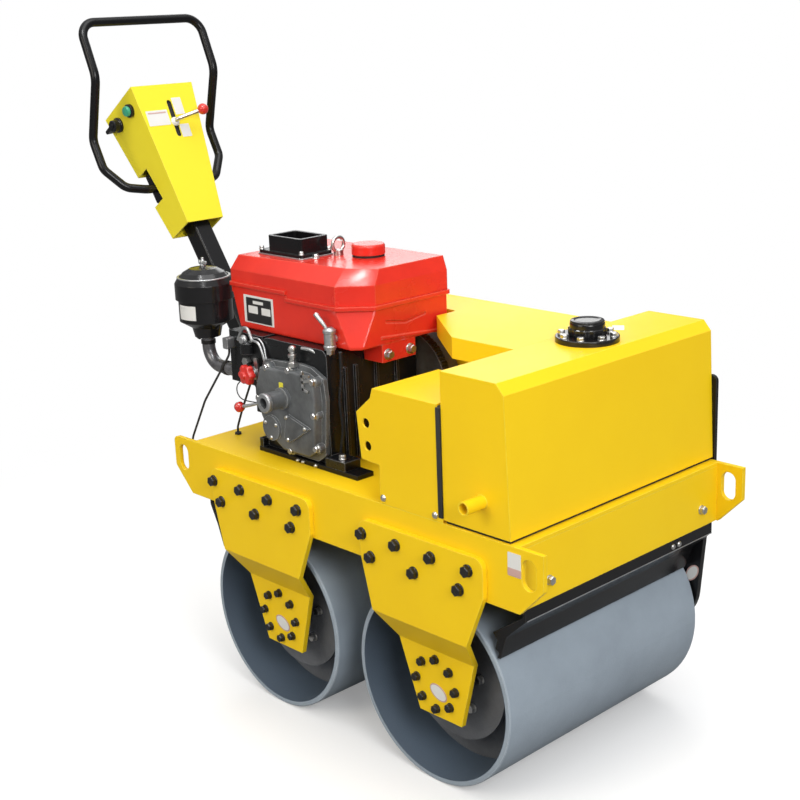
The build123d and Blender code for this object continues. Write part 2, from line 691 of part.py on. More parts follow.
RAIL_TOP = DECK_TOP + RAIL_HEIGHT
with BuildPart() as crankcase:
    with BuildSketch(xz_plane(CASE_NEAR)):
        with BuildLine():
            Polyline(
                (CASE_REAR_X, RAIL_TOP),
                (CASE_FRONT_X, RAIL_TOP),
                (CASE_FRONT_X, CASE_TOP),
                (CASE_REAR_X, CASE_TOP),
                close=True,
            )
        outline = make_face()
        fillet(outline.vertices().group_by(Axis.Y)[-1], 18)
    extrude(amount=CASE_NEAR - CASE_FAR)
    with BuildSketch(Plane.XY.offset(RAIL_TOP)):
        with Locations(*[(CASE_FRONT_X - 1, y) for y in (RAIL_NEAR_Y, RAIL_FAR_Y)]):
            Rectangle(FOOT_REACH, FOOT_WIDTH, align=(Align.MIN, Align.CENTER))
        with Locations(*[(CASE_REAR_X + 1, y) for y in (RAIL_NEAR_Y, RAIL_FAR_Y)]):
            Rectangle(REAR_FOOT_REACH, FOOT_WIDTH, align=(Align.MAX, Align.CENTER))
    extrude(amount=FOOT_THICK)
    with BuildSketch(Plane.XY.offset(RAIL_TOP)):
        with Locations(*[(CASE_FRONT_X - 1, y) for y in CASE_RIBS_Y]):
            Rectangle(CASE_RIB_DEPTH, CASE_RIB_WIDTH, align=(Align.MIN, Align.CENTER))
    extrude(amount=CASE_RIB_HEIGHT)
    with BuildSketch(Plane((CRANK_X, CASE_FAR, CRANK_Z), x_dir=(1, 0, 0), z_dir=(0, -1, 0))):
        Circle(CRANK_RADIUS + RUNNING_GAP)
    extrude(amount=STUB_REACH + STUB_GAP, mode=Mode.SUBTRACT)
save(crankcase, "crankcase")

# Gear cover: a flange with bolt bosses, a raised body on it, two small lids and the open starting boss
# Columns: X, Z, going round the cover's edge
GEAR_COVER_OUTLINE = (
    (-286, 804),
    (-166, 812),
    (-126, 809),
    (-88, 791),
    (-82, 744),
    (-92, 620),
    (-117, 603),
    (-213, 603),
    (-267, 635),
    (-292, 677),
    (-305, 722),
    (-306, 750),
)
GEAR_COVER_BOLTS = (
    (-102, 785),
    (-103, 711),
    (-101, 638),
    (-187, 617),
    (-257, 641),
    (-289, 719),
    (-257, 793),
    (-181, 798),
)
TIMING_LID_OUTLINE = (
    (-183, 702),
    (-110, 682),
    (-146, 659),
    (-182, 638),
    (-195, 649),
)
with BuildPart() as gear_cover:
    with BuildSketch(xz_plane(CASE_NEAR)):
        with BuildLine():
            Polyline(*GEAR_COVER_OUTLINE, close=True)
        outline = make_face()
        fillet(outline.vertices(), GEAR_COVER_CORNER)
    extrude(amount=GEAR_FLANGE_THICK)
    with BuildSketch(xz_plane(CASE_NEAR)):
        with BuildLine():
            Polyline(*GEAR_COVER_OUTLINE, close=True)
        outline = make_face()
        fillet(outline.vertices(), GEAR_COVER_CORNER)
        offset(amount=-GEAR_FLANGE_EDGE, mode=Mode.REPLACE)
    extrude(amount=CASE_NEAR - COVER_PLATE_NEAR)
    fillet(gear_cover.faces().sort_by(Axis.Y)[0].edges(), 5)
    with BuildSketch(xz_plane(CASE_NEAR)):
        with Locations(*GEAR_COVER_BOLTS):
            Circle(GEAR_BOSS_RADIUS)
    extrude(amount=GEAR_BOSS_HEIGHT)
    with BuildSketch(xz_plane(COVER_PLATE_NEAR)):
        with Locations(GOVERNOR_LID):
            Circle(GOVERNOR_LID_RADIUS)
        with BuildLine():
            Polyline(*TIMING_LID_OUTLINE, close=True)
        make_face()
    extrude(amount=SMALL_LID_THICK)
    with BuildSketch(xz_plane(COVER_PLATE_NEAR)):
        with Locations(STARTING_BOSS):
            Circle(STARTING_BOSS_RADIUS)
    extrude(amount=STARTING_BOSS_LENGTH)
    with BuildSketch(xz_plane(COVER_PLATE_NEAR - STARTING_BOSS_LENGTH)):
        with Locations(STARTING_BOSS):
            Circle(STARTING_BORE_RADIUS)
    extrude(amount=-STARTING_BORE_DEPTH, mode=Mode.SUBTRACT)
save(gear_cover, "gear_cover")

with BuildPart() as cylinder_head:
    with BuildSketch(xz_plane(HEAD_NEAR)):
        with BuildLine():
            Polyline(
                (HEAD_REAR_X, HEAD_BOTTOM),
                (CASE_REAR_X - FIT_GAP, HEAD_BOTTOM),
                (CASE_REAR_X - FIT_GAP, CASE_TOP),
                (HEAD_REAR_X, CASE_TOP),
                close=True,
            )
        make_face()
    extrude(amount=HEAD_NEAR - HEAD_FAR)
    fillet(cylinder_head.faces().sort_by(Axis.X)[0].edges(), 8)
    with BuildSketch(xz_plane(CASE_NEAR)):
        with Locations((HOUSING_REAR_X, HOUSING_BOTTOM)):
            Rectangle(
                CASE_REAR_X - FIT_GAP - HOUSING_REAR_X,
                CASE_TOP - HOUSING_BOTTOM,
                align=(Align.MIN, Align.MIN),
            )
    extrude(amount=CASE_NEAR - HEAD_NEAR - 10)
save(cylinder_head, "cylinder_head")

# Muffler: an upright can on a short neck, on the head's far side
with BuildPart() as muffler:
    with BuildSketch(xz_plane(HEAD_FAR + MUFFLER_STAND_OFF)):
        with Locations((MUFFLER_X, MUFFLER_NECK_Z)):
            Circle(MUFFLER_NECK_RADIUS)
    extrude(amount=MUFFLER_STAND_OFF - FIT_GAP)
    with BuildSketch(Plane((MUFFLER_X, HEAD_FAR + MUFFLER_STAND_OFF, MUFFLER_BOTTOM))):
        Circle(MUFFLER_RADIUS)
    extrude(amount=MUFFLER_HEIGHT)
    fillet(muffler.faces().sort_by(Axis.Z)[-1].edges(), 12)
    fillet(muffler.faces().sort_by(Axis.Z)[0].edges(), 12)
save(muffler, "muffler")

# Flywheel and crankshaft end, turning together
FLYWHEEL_NEAR = CASE_FAR + FLYWHEEL_GAP
with BuildPart() as flywheel:
    with BuildSketch(Plane((CRANK_X, 0, CRANK_Z), x_dir=(1, 0, 0), z_dir=(0, 0, 1))):
        with BuildLine():
            Polyline(
                (0, CASE_FAR - STUB_REACH),
                (CRANK_RADIUS, CASE_FAR - STUB_REACH),
                (CRANK_RADIUS, FLYWHEEL_NEAR),
                (FLYWHEEL_RADIUS, FLYWHEEL_NEAR),
                (FLYWHEEL_RADIUS, FLYWHEEL_NEAR + FLYWHEEL_WIDTH),
                (FLYWHEEL_DISH_RADIUS, FLYWHEEL_NEAR + FLYWHEEL_WIDTH),
                (FLYWHEEL_DISH_RADIUS, FLYWHEEL_NEAR + FLYWHEEL_WIDTH - FLYWHEEL_DISH),
                (PULLEY_RADIUS, FLYWHEEL_NEAR + FLYWHEEL_WIDTH - FLYWHEEL_DISH),
                (PULLEY_RADIUS, FLYWHEEL_NEAR + FLYWHEEL_WIDTH),
                (0, FLYWHEEL_NEAR + FLYWHEEL_WIDTH),
                close=True,
            )
        make_face()
    revolve(axis=Axis((CRANK_X, 0, CRANK_Z), (0, 1, 0)))
save(flywheel, "flywheel")

# Hopper and the fuel tank on it: two drawn shells that meet at a lip, which steps up over the rear part.
# The near front corner is cut off more and more towards the top.
HOPPER_SIDE_TOP = HOPPER_LIP_Z - LIP_STEP


def hopper_plan(rear_x, corner_cut, grow):
    """The shell's plan as a closed outline: four sides and the cut near front corner, grown on every side."""
    front_x = HOPPER_FRONT_X + grow
    near_y = HOPPER_NEAR - grow
    return (
        (rear_x - grow, near_y),
        (front_x - corner_cut, near_y),
        (front_x, near_y + corner_cut),
        (front_x, HOPPER_FAR + grow),
        (rear_x - grow, HOPPER_FAR + grow),
    )


# Columns: height, rear X, corner cut
HOPPER_SECTIONS = (
    (HOPPER_BOTTOM, HOPPER_REAR_BOTTOM_X, HOPPER_CORNER),
    (HOPPER_SIDE_TOP, HOPPER_REAR_X, LID_CORNER_CUT),
)
# Columns: rear X, front X, bottom, top. The lip's two steps and the shell under the higher one.
LIP_STEPS = (
    (HOPPER_REAR_X - HOPPER_LIP, LIP_STEP_X, HOPPER_LIP_Z, HOPPER_LIP),
    (LIP_STEP_X, HOPPER_FRONT_X + HOPPER_LIP, HOPPER_SIDE_TOP, HOPPER_LIP),
)
PRESSED_GROOVE = ((-141, 903), (-83, 893), (-23, 902))
PRESSED_RIDGE = ((-156, 870), (22, 856))
with BuildPart() as hopper:
    for height, rear_x, corner_cut in HOPPER_SECTIONS:
        with BuildSketch(Plane.XY.offset(height)):
            with BuildLine():
                Polyline(*hopper_plan(rear_x, corner_cut, 0), close=True)
            outline = make_face()
            fillet(outline.vertices(), HOPPER_ROUND)
    loft()
    fillet(hopper.faces().sort_by(Axis.Z)[0].edges(), HOPPER_ROUND)
    with BuildSketch(Plane.XY.offset(HOPPER_SIDE_TOP)):
        with BuildLine():
            Polyline(*hopper_plan(HOPPER_REAR_X, LID_CORNER_CUT, 0), close=True)
        make_face()
        with Locations((LIP_STEP_X, HOPPER_NEAR - HOPPER_LIP)):
            Rectangle(LID_LONG, LID_WIDE + 2 * HOPPER_LIP, align=(Align.MIN, Align.MIN), mode=Mode.SUBTRACT)
    extrude(amount=LIP_STEP)
    for rear_x, front_x, bottom, grow in LIP_STEPS:
        with BuildSketch(Plane.XY.offset(bottom)):
            with BuildLine():
                Polyline(*hopper_plan(HOPPER_REAR_X, LID_CORNER_CUT, grow), close=True)
            outline = make_face()
            fillet(outline.vertices(), HOPPER_ROUND)
            with Locations((rear_x, HOPPER_NEAR - HOPPER_LIP)):
                Rectangle(
                    front_x - rear_x,
                    LID_WIDE + 2 * HOPPER_LIP,
                    align=(Align.MIN, Align.MIN),
                    mode=Mode.INTERSECT,
                )
        extrude(amount=HOPPER_LIP_THICK)
    with BuildSketch(Plane.XY.offset(HOPPER_BOTTOM - HOPPER_FOOT_DROP)):
        with Locations(((FOOT_BACK_X + FOOT_FRONT_X) / 2, HOPPER_FOOT_Y)):
            Rectangle(FOOT_FRONT_X - FOOT_BACK_X, HOPPER_FOOT_WIDTH)
    extrude(amount=HOPPER_FOOT_DROP + HOPPER_FOOT_TOP)
    for route, depth, mode in (
        (PRESSED_GROOVE, -PRESSED_DEPTH, Mode.SUBTRACT),
        (PRESSED_RIDGE, PRESSED_DEPTH, Mode.ADD),
    ):
        with BuildSketch(Plane((HOPPER_FRONT_X, 0, 0), x_dir=(0, 1, 0), z_dir=(1, 0, 0))):
            with BuildLine():
                Polyline(*route, *[(y, z - PRESSED_WIDTH) for y, z in reversed(route)], close=True)
            make_face()
        extrude(amount=depth, mode=mode)
save(hopper, "hopper")

# Columns: X, Y, going round the lid's flat top
LID_TOP_PLAN = (
    (-421, -216),
    (-92, -189),
    (-30, -150),
    (-30, 41),
    (-421, 41),
)
with BuildPart() as fuel_tank:
    with BuildSketch(Plane.XY.offset(HOPPER_LIP_Z + HOPPER_LIP_THICK)):
        with BuildLine():
            Polyline(*hopper_plan(HOPPER_REAR_X, LID_CORNER_CUT, 0), close=True)
        make_face()
    extrude(amount=LID_SHOULDER - HOPPER_LIP_Z - HOPPER_LIP_THICK)
    with BuildSketch(Plane.XY.offset(HOPPER_SIDE_TOP + HOPPER_LIP_THICK)):
        with BuildLine():
            Polyline(*hopper_plan(HOPPER_REAR_X, LID_CORNER_CUT, 0), close=True)
        make_face()
        with Locations((LIP_STEP_X + FIT_GAP, HOPPER_NEAR)):
            Rectangle(LID_LONG, LID_WIDE, align=(Align.MIN, Align.MIN), mode=Mode.INTERSECT)
    extrude(amount=LIP_STEP)
    with BuildSketch(Plane.XY.offset(LID_SHOULDER)):
        with BuildLine():
            Polyline(*hopper_plan(HOPPER_REAR_X, LID_CORNER_CUT, 0), close=True)
        make_face()
    with BuildSketch(Plane.XY.offset(LID_TOP)):
        with BuildLine():
            Polyline(*LID_TOP_PLAN, close=True)
        make_face()
    loft(ruled=True)
save(fuel_tank, "fuel_tank")

with BuildPart() as water_funnel:
    with BuildSketch(Plane((FUNNEL_X, FUNNEL_Y, LID_TOP))):
        RectangleRounded(FUNNEL_LONG, FUNNEL_WIDE, 8)
    extrude(amount=FUNNEL_FLANGE)
    with BuildSketch(Plane((MOUTH_X, FUNNEL_Y, LID_TOP + FUNNEL_FLANGE))):
        RectangleRounded(MOUTH_LONG, MOUTH_WIDE, 8)
    extrude(amount=FUNNEL_HEIGHT)
    with BuildSketch(Plane((MOUTH_X, FUNNEL_Y, LID_TOP + FUNNEL_FLANGE + FUNNEL_HEIGHT))):
        RectangleRounded(MOUTH_LONG - 2 * FUNNEL_WALL, MOUTH_WIDE - 2 * FUNNEL_WALL, 6)
    extrude(amount=FUNNEL_WALL - FUNNEL_HEIGHT, mode=Mode.SUBTRACT)
save(water_funnel, "water_funnel")

EYE_CENTRE = Vector(EYE_X, EYE_Y, LID_TOP + EYE_FOOT + EYE_RING)
with BuildPart() as lifting_eye:
    with BuildSketch(Plane((EYE_X, EYE_Y, LID_TOP))):
        Circle(EYE_FOOT_RADIUS)
    extrude(amount=EYE_FOOT + EYE_WIRE)
    with BuildSketch(Plane(EYE_CENTRE, x_dir=(0, 0, 1), z_dir=(0, -1, 0))):
        with Locations((EYE_RING, 0)):
            Circle(EYE_WIRE)
    revolve(axis=Axis(EYE_CENTRE, (1, 0, 0)))
save(lifting_eye, "lifting_eye")

with BuildPart() as fuel_cap:
    with BuildSketch(Plane((FUEL_CAP_X, FUEL_CAP_Y, LID_TOP))):
        Circle(FUEL_CAP_RADIUS - FUEL_NECK)
    extrude(amount=FUEL_NECK)
    with BuildSketch(Plane((FUEL_CAP_X, FUEL_CAP_Y, LID_TOP + FUEL_NECK))):
        Circle(FUEL_CAP_RADIUS)
    extrude(amount=FUEL_CAP_HEIGHT - FUEL_NECK)
    fillet(fuel_cap.faces().sort_by(Axis.Z)[-1].edges(), 6)
save(fuel_cap, "fuel_cap")

# Air filter on its intake elbow behind the engine
FILTER_BAND_LOW = FILTER_BASE + FILTER_BAND_HEIGHT
FILTER_BAND_HIGH = FILTER_BAND_LOW + FILTER_BAND_WIDTH
ELBOW_Z = FILTER_BASE - ELBOW_DROP
# Columns: radius, height. The oil bowl's section.
BOWL_SECTION = (
    (0, FILTER_BASE),
    (ELBOW_RADIUS + 15, FILTER_BASE),
    (ELBOW_RADIUS + 20, FILTER_BASE + 22),
    (FILTER_RADIUS - 6, FILTER_BASE + 39),
    (FILTER_RADIUS - 6, FILTER_BAND_LOW),
    (0, FILTER_BAND_LOW),
)
DOME_SECTION = (
    (0, FILTER_BAND_LOW),
    (FILTER_RADIUS, FILTER_BAND_LOW),
    (FILTER_RADIUS, FILTER_BAND_HIGH),
    (FILTER_RADIUS - 8, FILTER_BAND_HIGH + DOME_SEAM_HEIGHT),
    (FILTER_RADIUS - 11, FILTER_BAND_HIGH + DOME_SEAM_HEIGHT),
    (FILTER_RADIUS - 20, FILTER_BAND_HIGH + DOME_SEAM_HEIGHT + DOME_HEIGHT * 0.42),
    (FILTER_RADIUS - 36, FILTER_BAND_HIGH + DOME_SEAM_HEIGHT + DOME_HEIGHT * 0.79),
    (0, FILTER_BAND_HIGH + DOME_SEAM_HEIGHT + DOME_HEIGHT),
)
for name, section in (("air_filter_bowl", BOWL_SECTION), ("air_filter_dome", DOME_SECTION)):
    with BuildPart() as filter_piece:
        with BuildSketch(Plane((FILTER_X, FILTER_Y, 0), x_dir=(1, 0, 0), z_dir=(0, -1, 0))):
            with BuildLine():
                Polyline(*section, close=True)
            make_face()
        revolve(axis=Axis((FILTER_X, FILTER_Y, 0), (0, 0, 1)))
    save(filter_piece, name)

with BuildPart() as intake_elbow:
    with BuildLine() as elbow_path:
        FilletPolyline(
            (FILTER_X, FILTER_Y, FILTER_BASE),
            (FILTER_X, FILTER_Y, ELBOW_Z),
            (HOUSING_REAR_X - FIT_GAP, FILTER_Y, ELBOW_Z),
            radius=ELBOW_BEND,
        )
    with BuildSketch(Plane(elbow_path.line @ 0, z_dir=elbow_path.line % 0)):
        Circle(ELBOW_RADIUS)
    sweep()
save(intake_elbow, "intake_elbow")

# Fuel cock low on the hopper's near face: an upright body on a short stem
with BuildPart() as fuel_cock:
    with BuildSketch(xz_plane(HOPPER_NEAR - FIT_GAP)):
        with Locations((COCK_X, COCK_Z)):
            Circle(COCK_STEM_RADIUS)
    extrude(amount=COCK_STAND_OFF)
    with BuildSketch(Plane((COCK_X, HOPPER_NEAR - COCK_STAND_OFF, COCK_Z - COCK_HEIGHT / 2))):
        Circle(COCK_RADIUS)
    extrude(amount=COCK_HEIGHT)
save(fuel_cock, "fuel_cock")

# Control cables: each one held at the engine and at a grommet on the frame
CABLE_START = (-411, CASE_NEAR - CLAMP_LONG / 2, 809 - FIT_GAP)
with BuildPart() as cable_clamp:
    with BuildSketch(xz_plane(CASE_NEAR - FIT_GAP)):
        with Locations((CABLE_START[0], CABLE_START[2] + FIT_GAP + CLAMP_HIGH / 2)):
            RectangleRounded(CLAMP_WIDE, CLAMP_HIGH, 4)
    extrude(amount=CLAMP_LONG)
save(cable_clamp, "cable_clamp")

with BuildPart() as throttle_cable:
    with BuildLine() as throttle_path:
        FilletPolyline(
            CABLE_START,
            (CABLE_START[0], CABLE_START[1], CABLE_START[2] - 14),
            (-478, -297, 681),
            (-520, -311, 585),
            (-524, -311, 540),
            (BEAM_REAR_X - GROMMET_THICK, -311, 540),
            radius=(30, 100, 60, 18),
        )
    with BuildSketch(Plane(throttle_path.line @ 0, z_dir=throttle_path.line % 0)):
        Circle(CABLE_RADIUS)
    sweep()
    with BuildSketch(Plane((BEAM_REAR_X - FIT_GAP, -311, 540), x_dir=(0, 1, 0), z_dir=(-1, 0, 0))):
        Circle(3 * CABLE_RADIUS)
    extrude(amount=GROMMET_THICK)
save(throttle_cable, "throttle_cable")

with BuildPart() as stop_cable:
    with BuildLine() as stop_path:
        FilletPolyline(
            (-400, -222, HOUSING_BOTTOM - FIT_GAP),
            (-400, -222, HOUSING_BOTTOM - 12),
            (-430, -230, 650),
            (-448, -232, DECK_TOP + 18),
            (-448, -232, DECK_TOP + GROMMET_THICK),
            radius=(20, 60, 20),
        )
    with BuildSketch(Plane(stop_path.line @ 0, z_dir=stop_path.line % 0)):
        Circle(CABLE_RADIUS)
    sweep()
    with BuildSketch(Plane((-448, -232, DECK_TOP))):
        Circle(3 * CABLE_RADIUS)
    extrude(amount=GROMMET_THICK)
save(stop_cable, "stop_cable")

# Handle: everything along a column that leans back by the tilt about a pin behind the rear beam
UP = Vector(-sin(radians(HANDLE_TILT)), 0, cos(radians(HANDLE_TILT)))
FRONTWARD = Vector(cos(radians(HANDLE_TILT)), 0, sin(radians(HANDLE_TILT)))
PIVOT = Vector(PIVOT_X, HANDLE_Y, PIVOT_Z)


def column_plane(along):
    """A sketch plane across the column: local x is the column's front, local y is +Y."""
    return Plane(PIVOT + UP * along, x_dir=FRONTWARD, z_dir=UP)


EAR_INNER = COLUMN_SIZE / 2 + EAR_GAP
EAR_ROUND = 30
with BuildPart() as handle_bracket:
    with BuildSketch(Plane((BEAM_REAR_X - FIT_GAP, HANDLE_Y, PIVOT_Z - 16), x_dir=(0, 1, 0), z_dir=(-1, 0, 0))):
        Rectangle(2 * (EAR_INNER + EAR_PLATE + 18), 110)
    extrude(amount=BRACKET_BASE)
    for side in (-1, 1):
        outer = HANDLE_Y + side * (EAR_INNER + EAR_PLATE)
        with BuildSketch(Plane((0, outer, 0), x_dir=(1, 0, 0), z_dir=(0, -1, 0))):
            with BuildLine():
                Polyline(
                    (BEAM_REAR_X - BRACKET_BASE, PIVOT_Z - 60),
                    (BEAM_REAR_X - BRACKET_BASE, PIVOT_Z + 30),
                    (PIVOT_X - EAR_ROUND, PIVOT_Z + EAR_ROUND),
                    (PIVOT_X - EAR_ROUND, PIVOT_Z - EAR_ROUND),
                    close=True,
                )
            outline = make_face()
            fillet(outline.vertices().group_by(Axis.X)[0], EAR_ROUND * 0.8)
            with Locations((PIVOT_X, PIVOT_Z)):
                Circle(PIN_RADIUS + RUNNING_GAP, mode=Mode.SUBTRACT)
        extrude(amount=side * EAR_PLATE)
save(handle_bracket, "handle_bracket")

PIN_HALF = EAR_INNER + EAR_PLATE + 8
with BuildPart() as pivot_pin:
    with BuildSketch(Plane((PIVOT_X, HANDLE_Y + PIN_HALF, PIVOT_Z), x_dir=(1, 0, 0), z_dir=(0, -1, 0))):
        Circle(PIN_RADIUS)
    extrude(amount=2 * PIN_HALF)
save(pivot_pin, "pivot_pin")

with BuildPart() as handle_column:
    with BuildSketch(column_plane(-COLUMN_TAIL)):
        RectangleRounded(COLUMN_SIZE, COLUMN_SIZE, 6)
        RectangleRounded(COLUMN_SIZE - 2 * COLUMN_WALL, COLUMN_SIZE - 2 * COLUMN_WALL, 3, mode=Mode.SUBTRACT)
    extrude(amount=CONSOLE_HIGH - CONSOLE_WALL - FIT_GAP + COLUMN_TAIL)
    with BuildSketch(Plane((PIVOT_X, HANDLE_Y + COLUMN_SIZE, PIVOT_Z), x_dir=(1, 0, 0), z_dir=(0, -1, 0))):
        Circle(PIN_RADIUS + RUNNING_GAP)
    extrude(amount=2 * COLUMN_SIZE, mode=Mode.SUBTRACT)
save(handle_column, "handle_column")

# Console: a tapered sheet housing round the column's top
# Columns: distance along the column, rear offset, front offset, half width
CONSOLE_SECTIONS = (
    (CONSOLE_LOW, -43, 44, 55),
    (CONSOLE_HIGH, -48, 108, 93),
)
SLOT_CENTRE = PIVOT + UP * (LEVER_ALONG + LEVER_SLOT_LEAD) + Vector(0, LEVER_SHIFT, 0)
with BuildPart() as console:
    for along, rear, front, half in CONSOLE_SECTIONS:
        with BuildSketch(column_plane(along)):
            with Locations(((rear + front) / 2, 0)):
                Rectangle(front - rear, 2 * half)
    loft()
    for along, rear, front, half in CONSOLE_SECTIONS:
        with BuildSketch(column_plane(along + (-1 if along == CONSOLE_LOW else -CONSOLE_WALL))):
            with Locations(((rear + front) / 2, 0)):
                Rectangle(front - rear - 2 * CONSOLE_WALL, 2 * half - 2 * CONSOLE_WALL)
    loft(mode=Mode.SUBTRACT)
    with BuildSketch(column_plane(CONSOLE_NOTCH_LOW)):
        with Locations((CONSOLE_NOTCH_FRONT, 0)):
            Rectangle(CONSOLE_NOTCH_CUT, CONSOLE_NOTCH_CUT * 2, align=(Align.MAX, Align.CENTER))
    extrude(amount=CONSOLE_NOTCH_HIGH - CONSOLE_NOTCH_LOW, mode=Mode.SUBTRACT)
    with BuildSketch(Plane(SLOT_CENTRE, x_dir=UP, z_dir=FRONTWARD)):
        SlotOverall(LEVER_SLOT_LENGTH, LEVER_SLOT_WIDTH)
    extrude(amount=CONSOLE_NOTCH_CUT * 2, mode=Mode.SUBTRACT)
save(console, "console")

# Handle loop: one bent tube from side to side of the column
# Columns: X, half width, Z, bend radius at that point
LOOP_ROUTE = (
    (-936, COLUMN_SIZE / 2 + LOOP_GAP, 1111, 0),
    (-936, 88, 1111, 60),
    (-953, 140, 1120, 40),
    (-986, LOOP_HALF_WIDTH, 1168, 34),
    (-1022, LOOP_HALF_WIDTH, 1238, 40),
    (-982, LOOP_HALF_WIDTH, 1394, 60),
    (-1036, LOOP_HALF_WIDTH, 1524, 42),
)
near_side = [(x, HANDLE_Y - half, z) for x, half, z, bend in LOOP_ROUTE]
far_side = [(x, HANDLE_Y + half, z) for x, half, z, bend in reversed(LOOP_ROUTE)]
bends = [row[3] for row in LOOP_ROUTE[1:]]
with BuildPart() as handle_loop:
    with BuildLine() as loop_path:
        FilletPolyline(*near_side, *far_side, radius=bends + bends[::-1])
    with BuildSketch(Plane(loop_path.line @ 0, z_dir=loop_path.line % 0)):
        Circle(LOOP_RADIUS)
    sweep()
save(handle_loop, "handle_loop")

# Travel lever: a bent rod with a round knob, out of the slot in the console's front face
LEVER_ROOT = PIVOT + UP * LEVER_ALONG + Vector(0, LEVER_SHIFT, 0)
KNOB_CENTRE = PIVOT + UP * LEVER_ALONG + FRONTWARD * KNOB_REACH + Vector(0, KNOB_SHIFT, 0)
with BuildPart() as travel_lever:
    with BuildLine() as lever_path:
        FilletPolyline(
            LEVER_ROOT + FRONTWARD * (COLUMN_SIZE / 2 + FIT_GAP),
            LEVER_ROOT + FRONTWARD * LEVER_BEND_REACH,
            KNOB_CENTRE,
            radius=3 * LEVER_RADIUS,
        )
    with BuildSketch(Plane(lever_path.line @ 0, z_dir=lever_path.line % 0)):
        Circle(LEVER_RADIUS)
    sweep()
    with BuildSketch(Plane(KNOB_CENTRE, x_dir=FRONTWARD, z_dir=(0, 1, 0))):
        Circle(KNOB_RADIUS + FIT_GAP)
        Rectangle(4 * KNOB_RADIUS, 2 * KNOB_RADIUS, align=(Align.CENTER, Align.MAX), mode=Mode.SUBTRACT)
    revolve(axis=Axis(KNOB_CENTRE, FRONTWARD), mode=Mode.SUBTRACT)
save(travel_lever, "travel_lever")

with BuildPart() as lever_knob:
    with BuildSketch(Plane(KNOB_CENTRE, x_dir=FRONTWARD, z_dir=(0, 1, 0))):
        Circle(KNOB_RADIUS)
        Rectangle(2 * KNOB_RADIUS, KNOB_RADIUS, align=(Align.CENTER, Align.MAX), mode=Mode.SUBTRACT)
    revolve(axis=Axis(KNOB_CENTRE, FRONTWARD))
save(lever_knob, "lever_knob")
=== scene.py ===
# %% [markdown]
# # A walk-behind road roller
#
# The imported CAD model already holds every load-carrying piece at its true size. This lesson dresses it.
# It gives each piece a paint or metal, and adds what a drawing office leaves to the workshop:
# bolts, labels, seals, pipes and the small parts of the engine. Lengths are in metres, +X is forward
# and +Z is up, as in the CAD model. Tables of places are in millimetres, as on a drawing.

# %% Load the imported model
import json
from math import cos, pi, radians, sin

import bmesh
import bpy
import numpy as np
from mathutils import Matrix, Vector


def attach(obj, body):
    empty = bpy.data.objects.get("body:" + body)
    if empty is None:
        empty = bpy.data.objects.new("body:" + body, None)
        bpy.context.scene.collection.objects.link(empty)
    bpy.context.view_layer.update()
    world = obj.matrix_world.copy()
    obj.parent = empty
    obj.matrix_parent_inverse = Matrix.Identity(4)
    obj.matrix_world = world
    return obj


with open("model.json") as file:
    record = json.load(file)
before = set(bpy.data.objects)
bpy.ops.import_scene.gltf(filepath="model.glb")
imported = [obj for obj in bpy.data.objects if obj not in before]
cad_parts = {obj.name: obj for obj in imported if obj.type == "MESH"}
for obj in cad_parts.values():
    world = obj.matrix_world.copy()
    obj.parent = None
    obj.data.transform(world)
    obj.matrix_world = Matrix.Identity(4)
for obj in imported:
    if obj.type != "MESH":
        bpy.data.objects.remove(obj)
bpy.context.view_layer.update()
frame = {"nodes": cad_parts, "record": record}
nodes = frame["nodes"]

# %% [markdown]
# ## The camera
#
# The drum rims, the bolt circles and the frame's edges fix where the photographer stood: about 3.4 m away,
# a little above the handle. The camera leans two degrees to one side, so its own right and up directions
# are turned about the line of sight. A matrix with the three directions as columns says all of that at once.

# %% Camera
FOCAL_PIXELS = 1406.0
PICTURE_WIDTH = 800.0
SENSOR = 36.0
CAMERA_PLACE = Vector((2.0981, -2.1052, 1.5538))
AZIMUTH, ELEVATION, LEAN = radians(46.75), radians(15.94), radians(-2.19)

back = Vector((sin(AZIMUTH) * cos(ELEVATION), -cos(AZIMUTH) * cos(ELEVATION), sin(ELEVATION)))
level = Vector((cos(AZIMUTH), sin(AZIMUTH), 0.0))
rise = back.cross(level)
right = level * cos(LEAN) + rise * sin(LEAN)
up = rise * cos(LEAN) - level * sin(LEAN)
lens = bpy.data.cameras.new("camera")
lens.sensor_width = SENSOR
lens.lens = FOCAL_PIXELS * SENSOR / PICTURE_WIDTH
lens.clip_start, lens.clip_end = 0.1, 100.0
camera = bpy.data.objects.new("camera", lens)
bpy.context.scene.collection.objects.link(camera)
turn = Matrix((right, up, back)).transposed()
camera.matrix_world = Matrix.Translation(CAMERA_PLACE) @ turn.to_4x4()
bpy.context.scene.camera = camera
print("camera at", [round(c, 3) for c in CAMERA_PLACE], "with a lens of", round(lens.lens, 1), "mm")

# %% [markdown]
# ## Working surfaces out with numpy
#
# Every new piece is a grid of points worked out as one array, so a formula says what its shape is.
# The first helper turns a grid into faces. Each row of the grid is a closed ring, as on a turned shape,
# and a row of radius zero becomes a single point later, so that no hole is left.

# %% Grids and turned shapes
def grid_faces(rows, columns):
    """Corner numbers of the quads between neighbouring points of a grid whose rows are closed rings."""
    a, b = np.meshgrid(np.arange(rows - 1), np.arange(columns), indexing="ij")
    here, onward = a * columns, (b + 1) % columns
    quads = np.stack([here + b, here + onward, here + columns + onward, here + columns + b], -1)
    return quads.reshape(-1, 4)


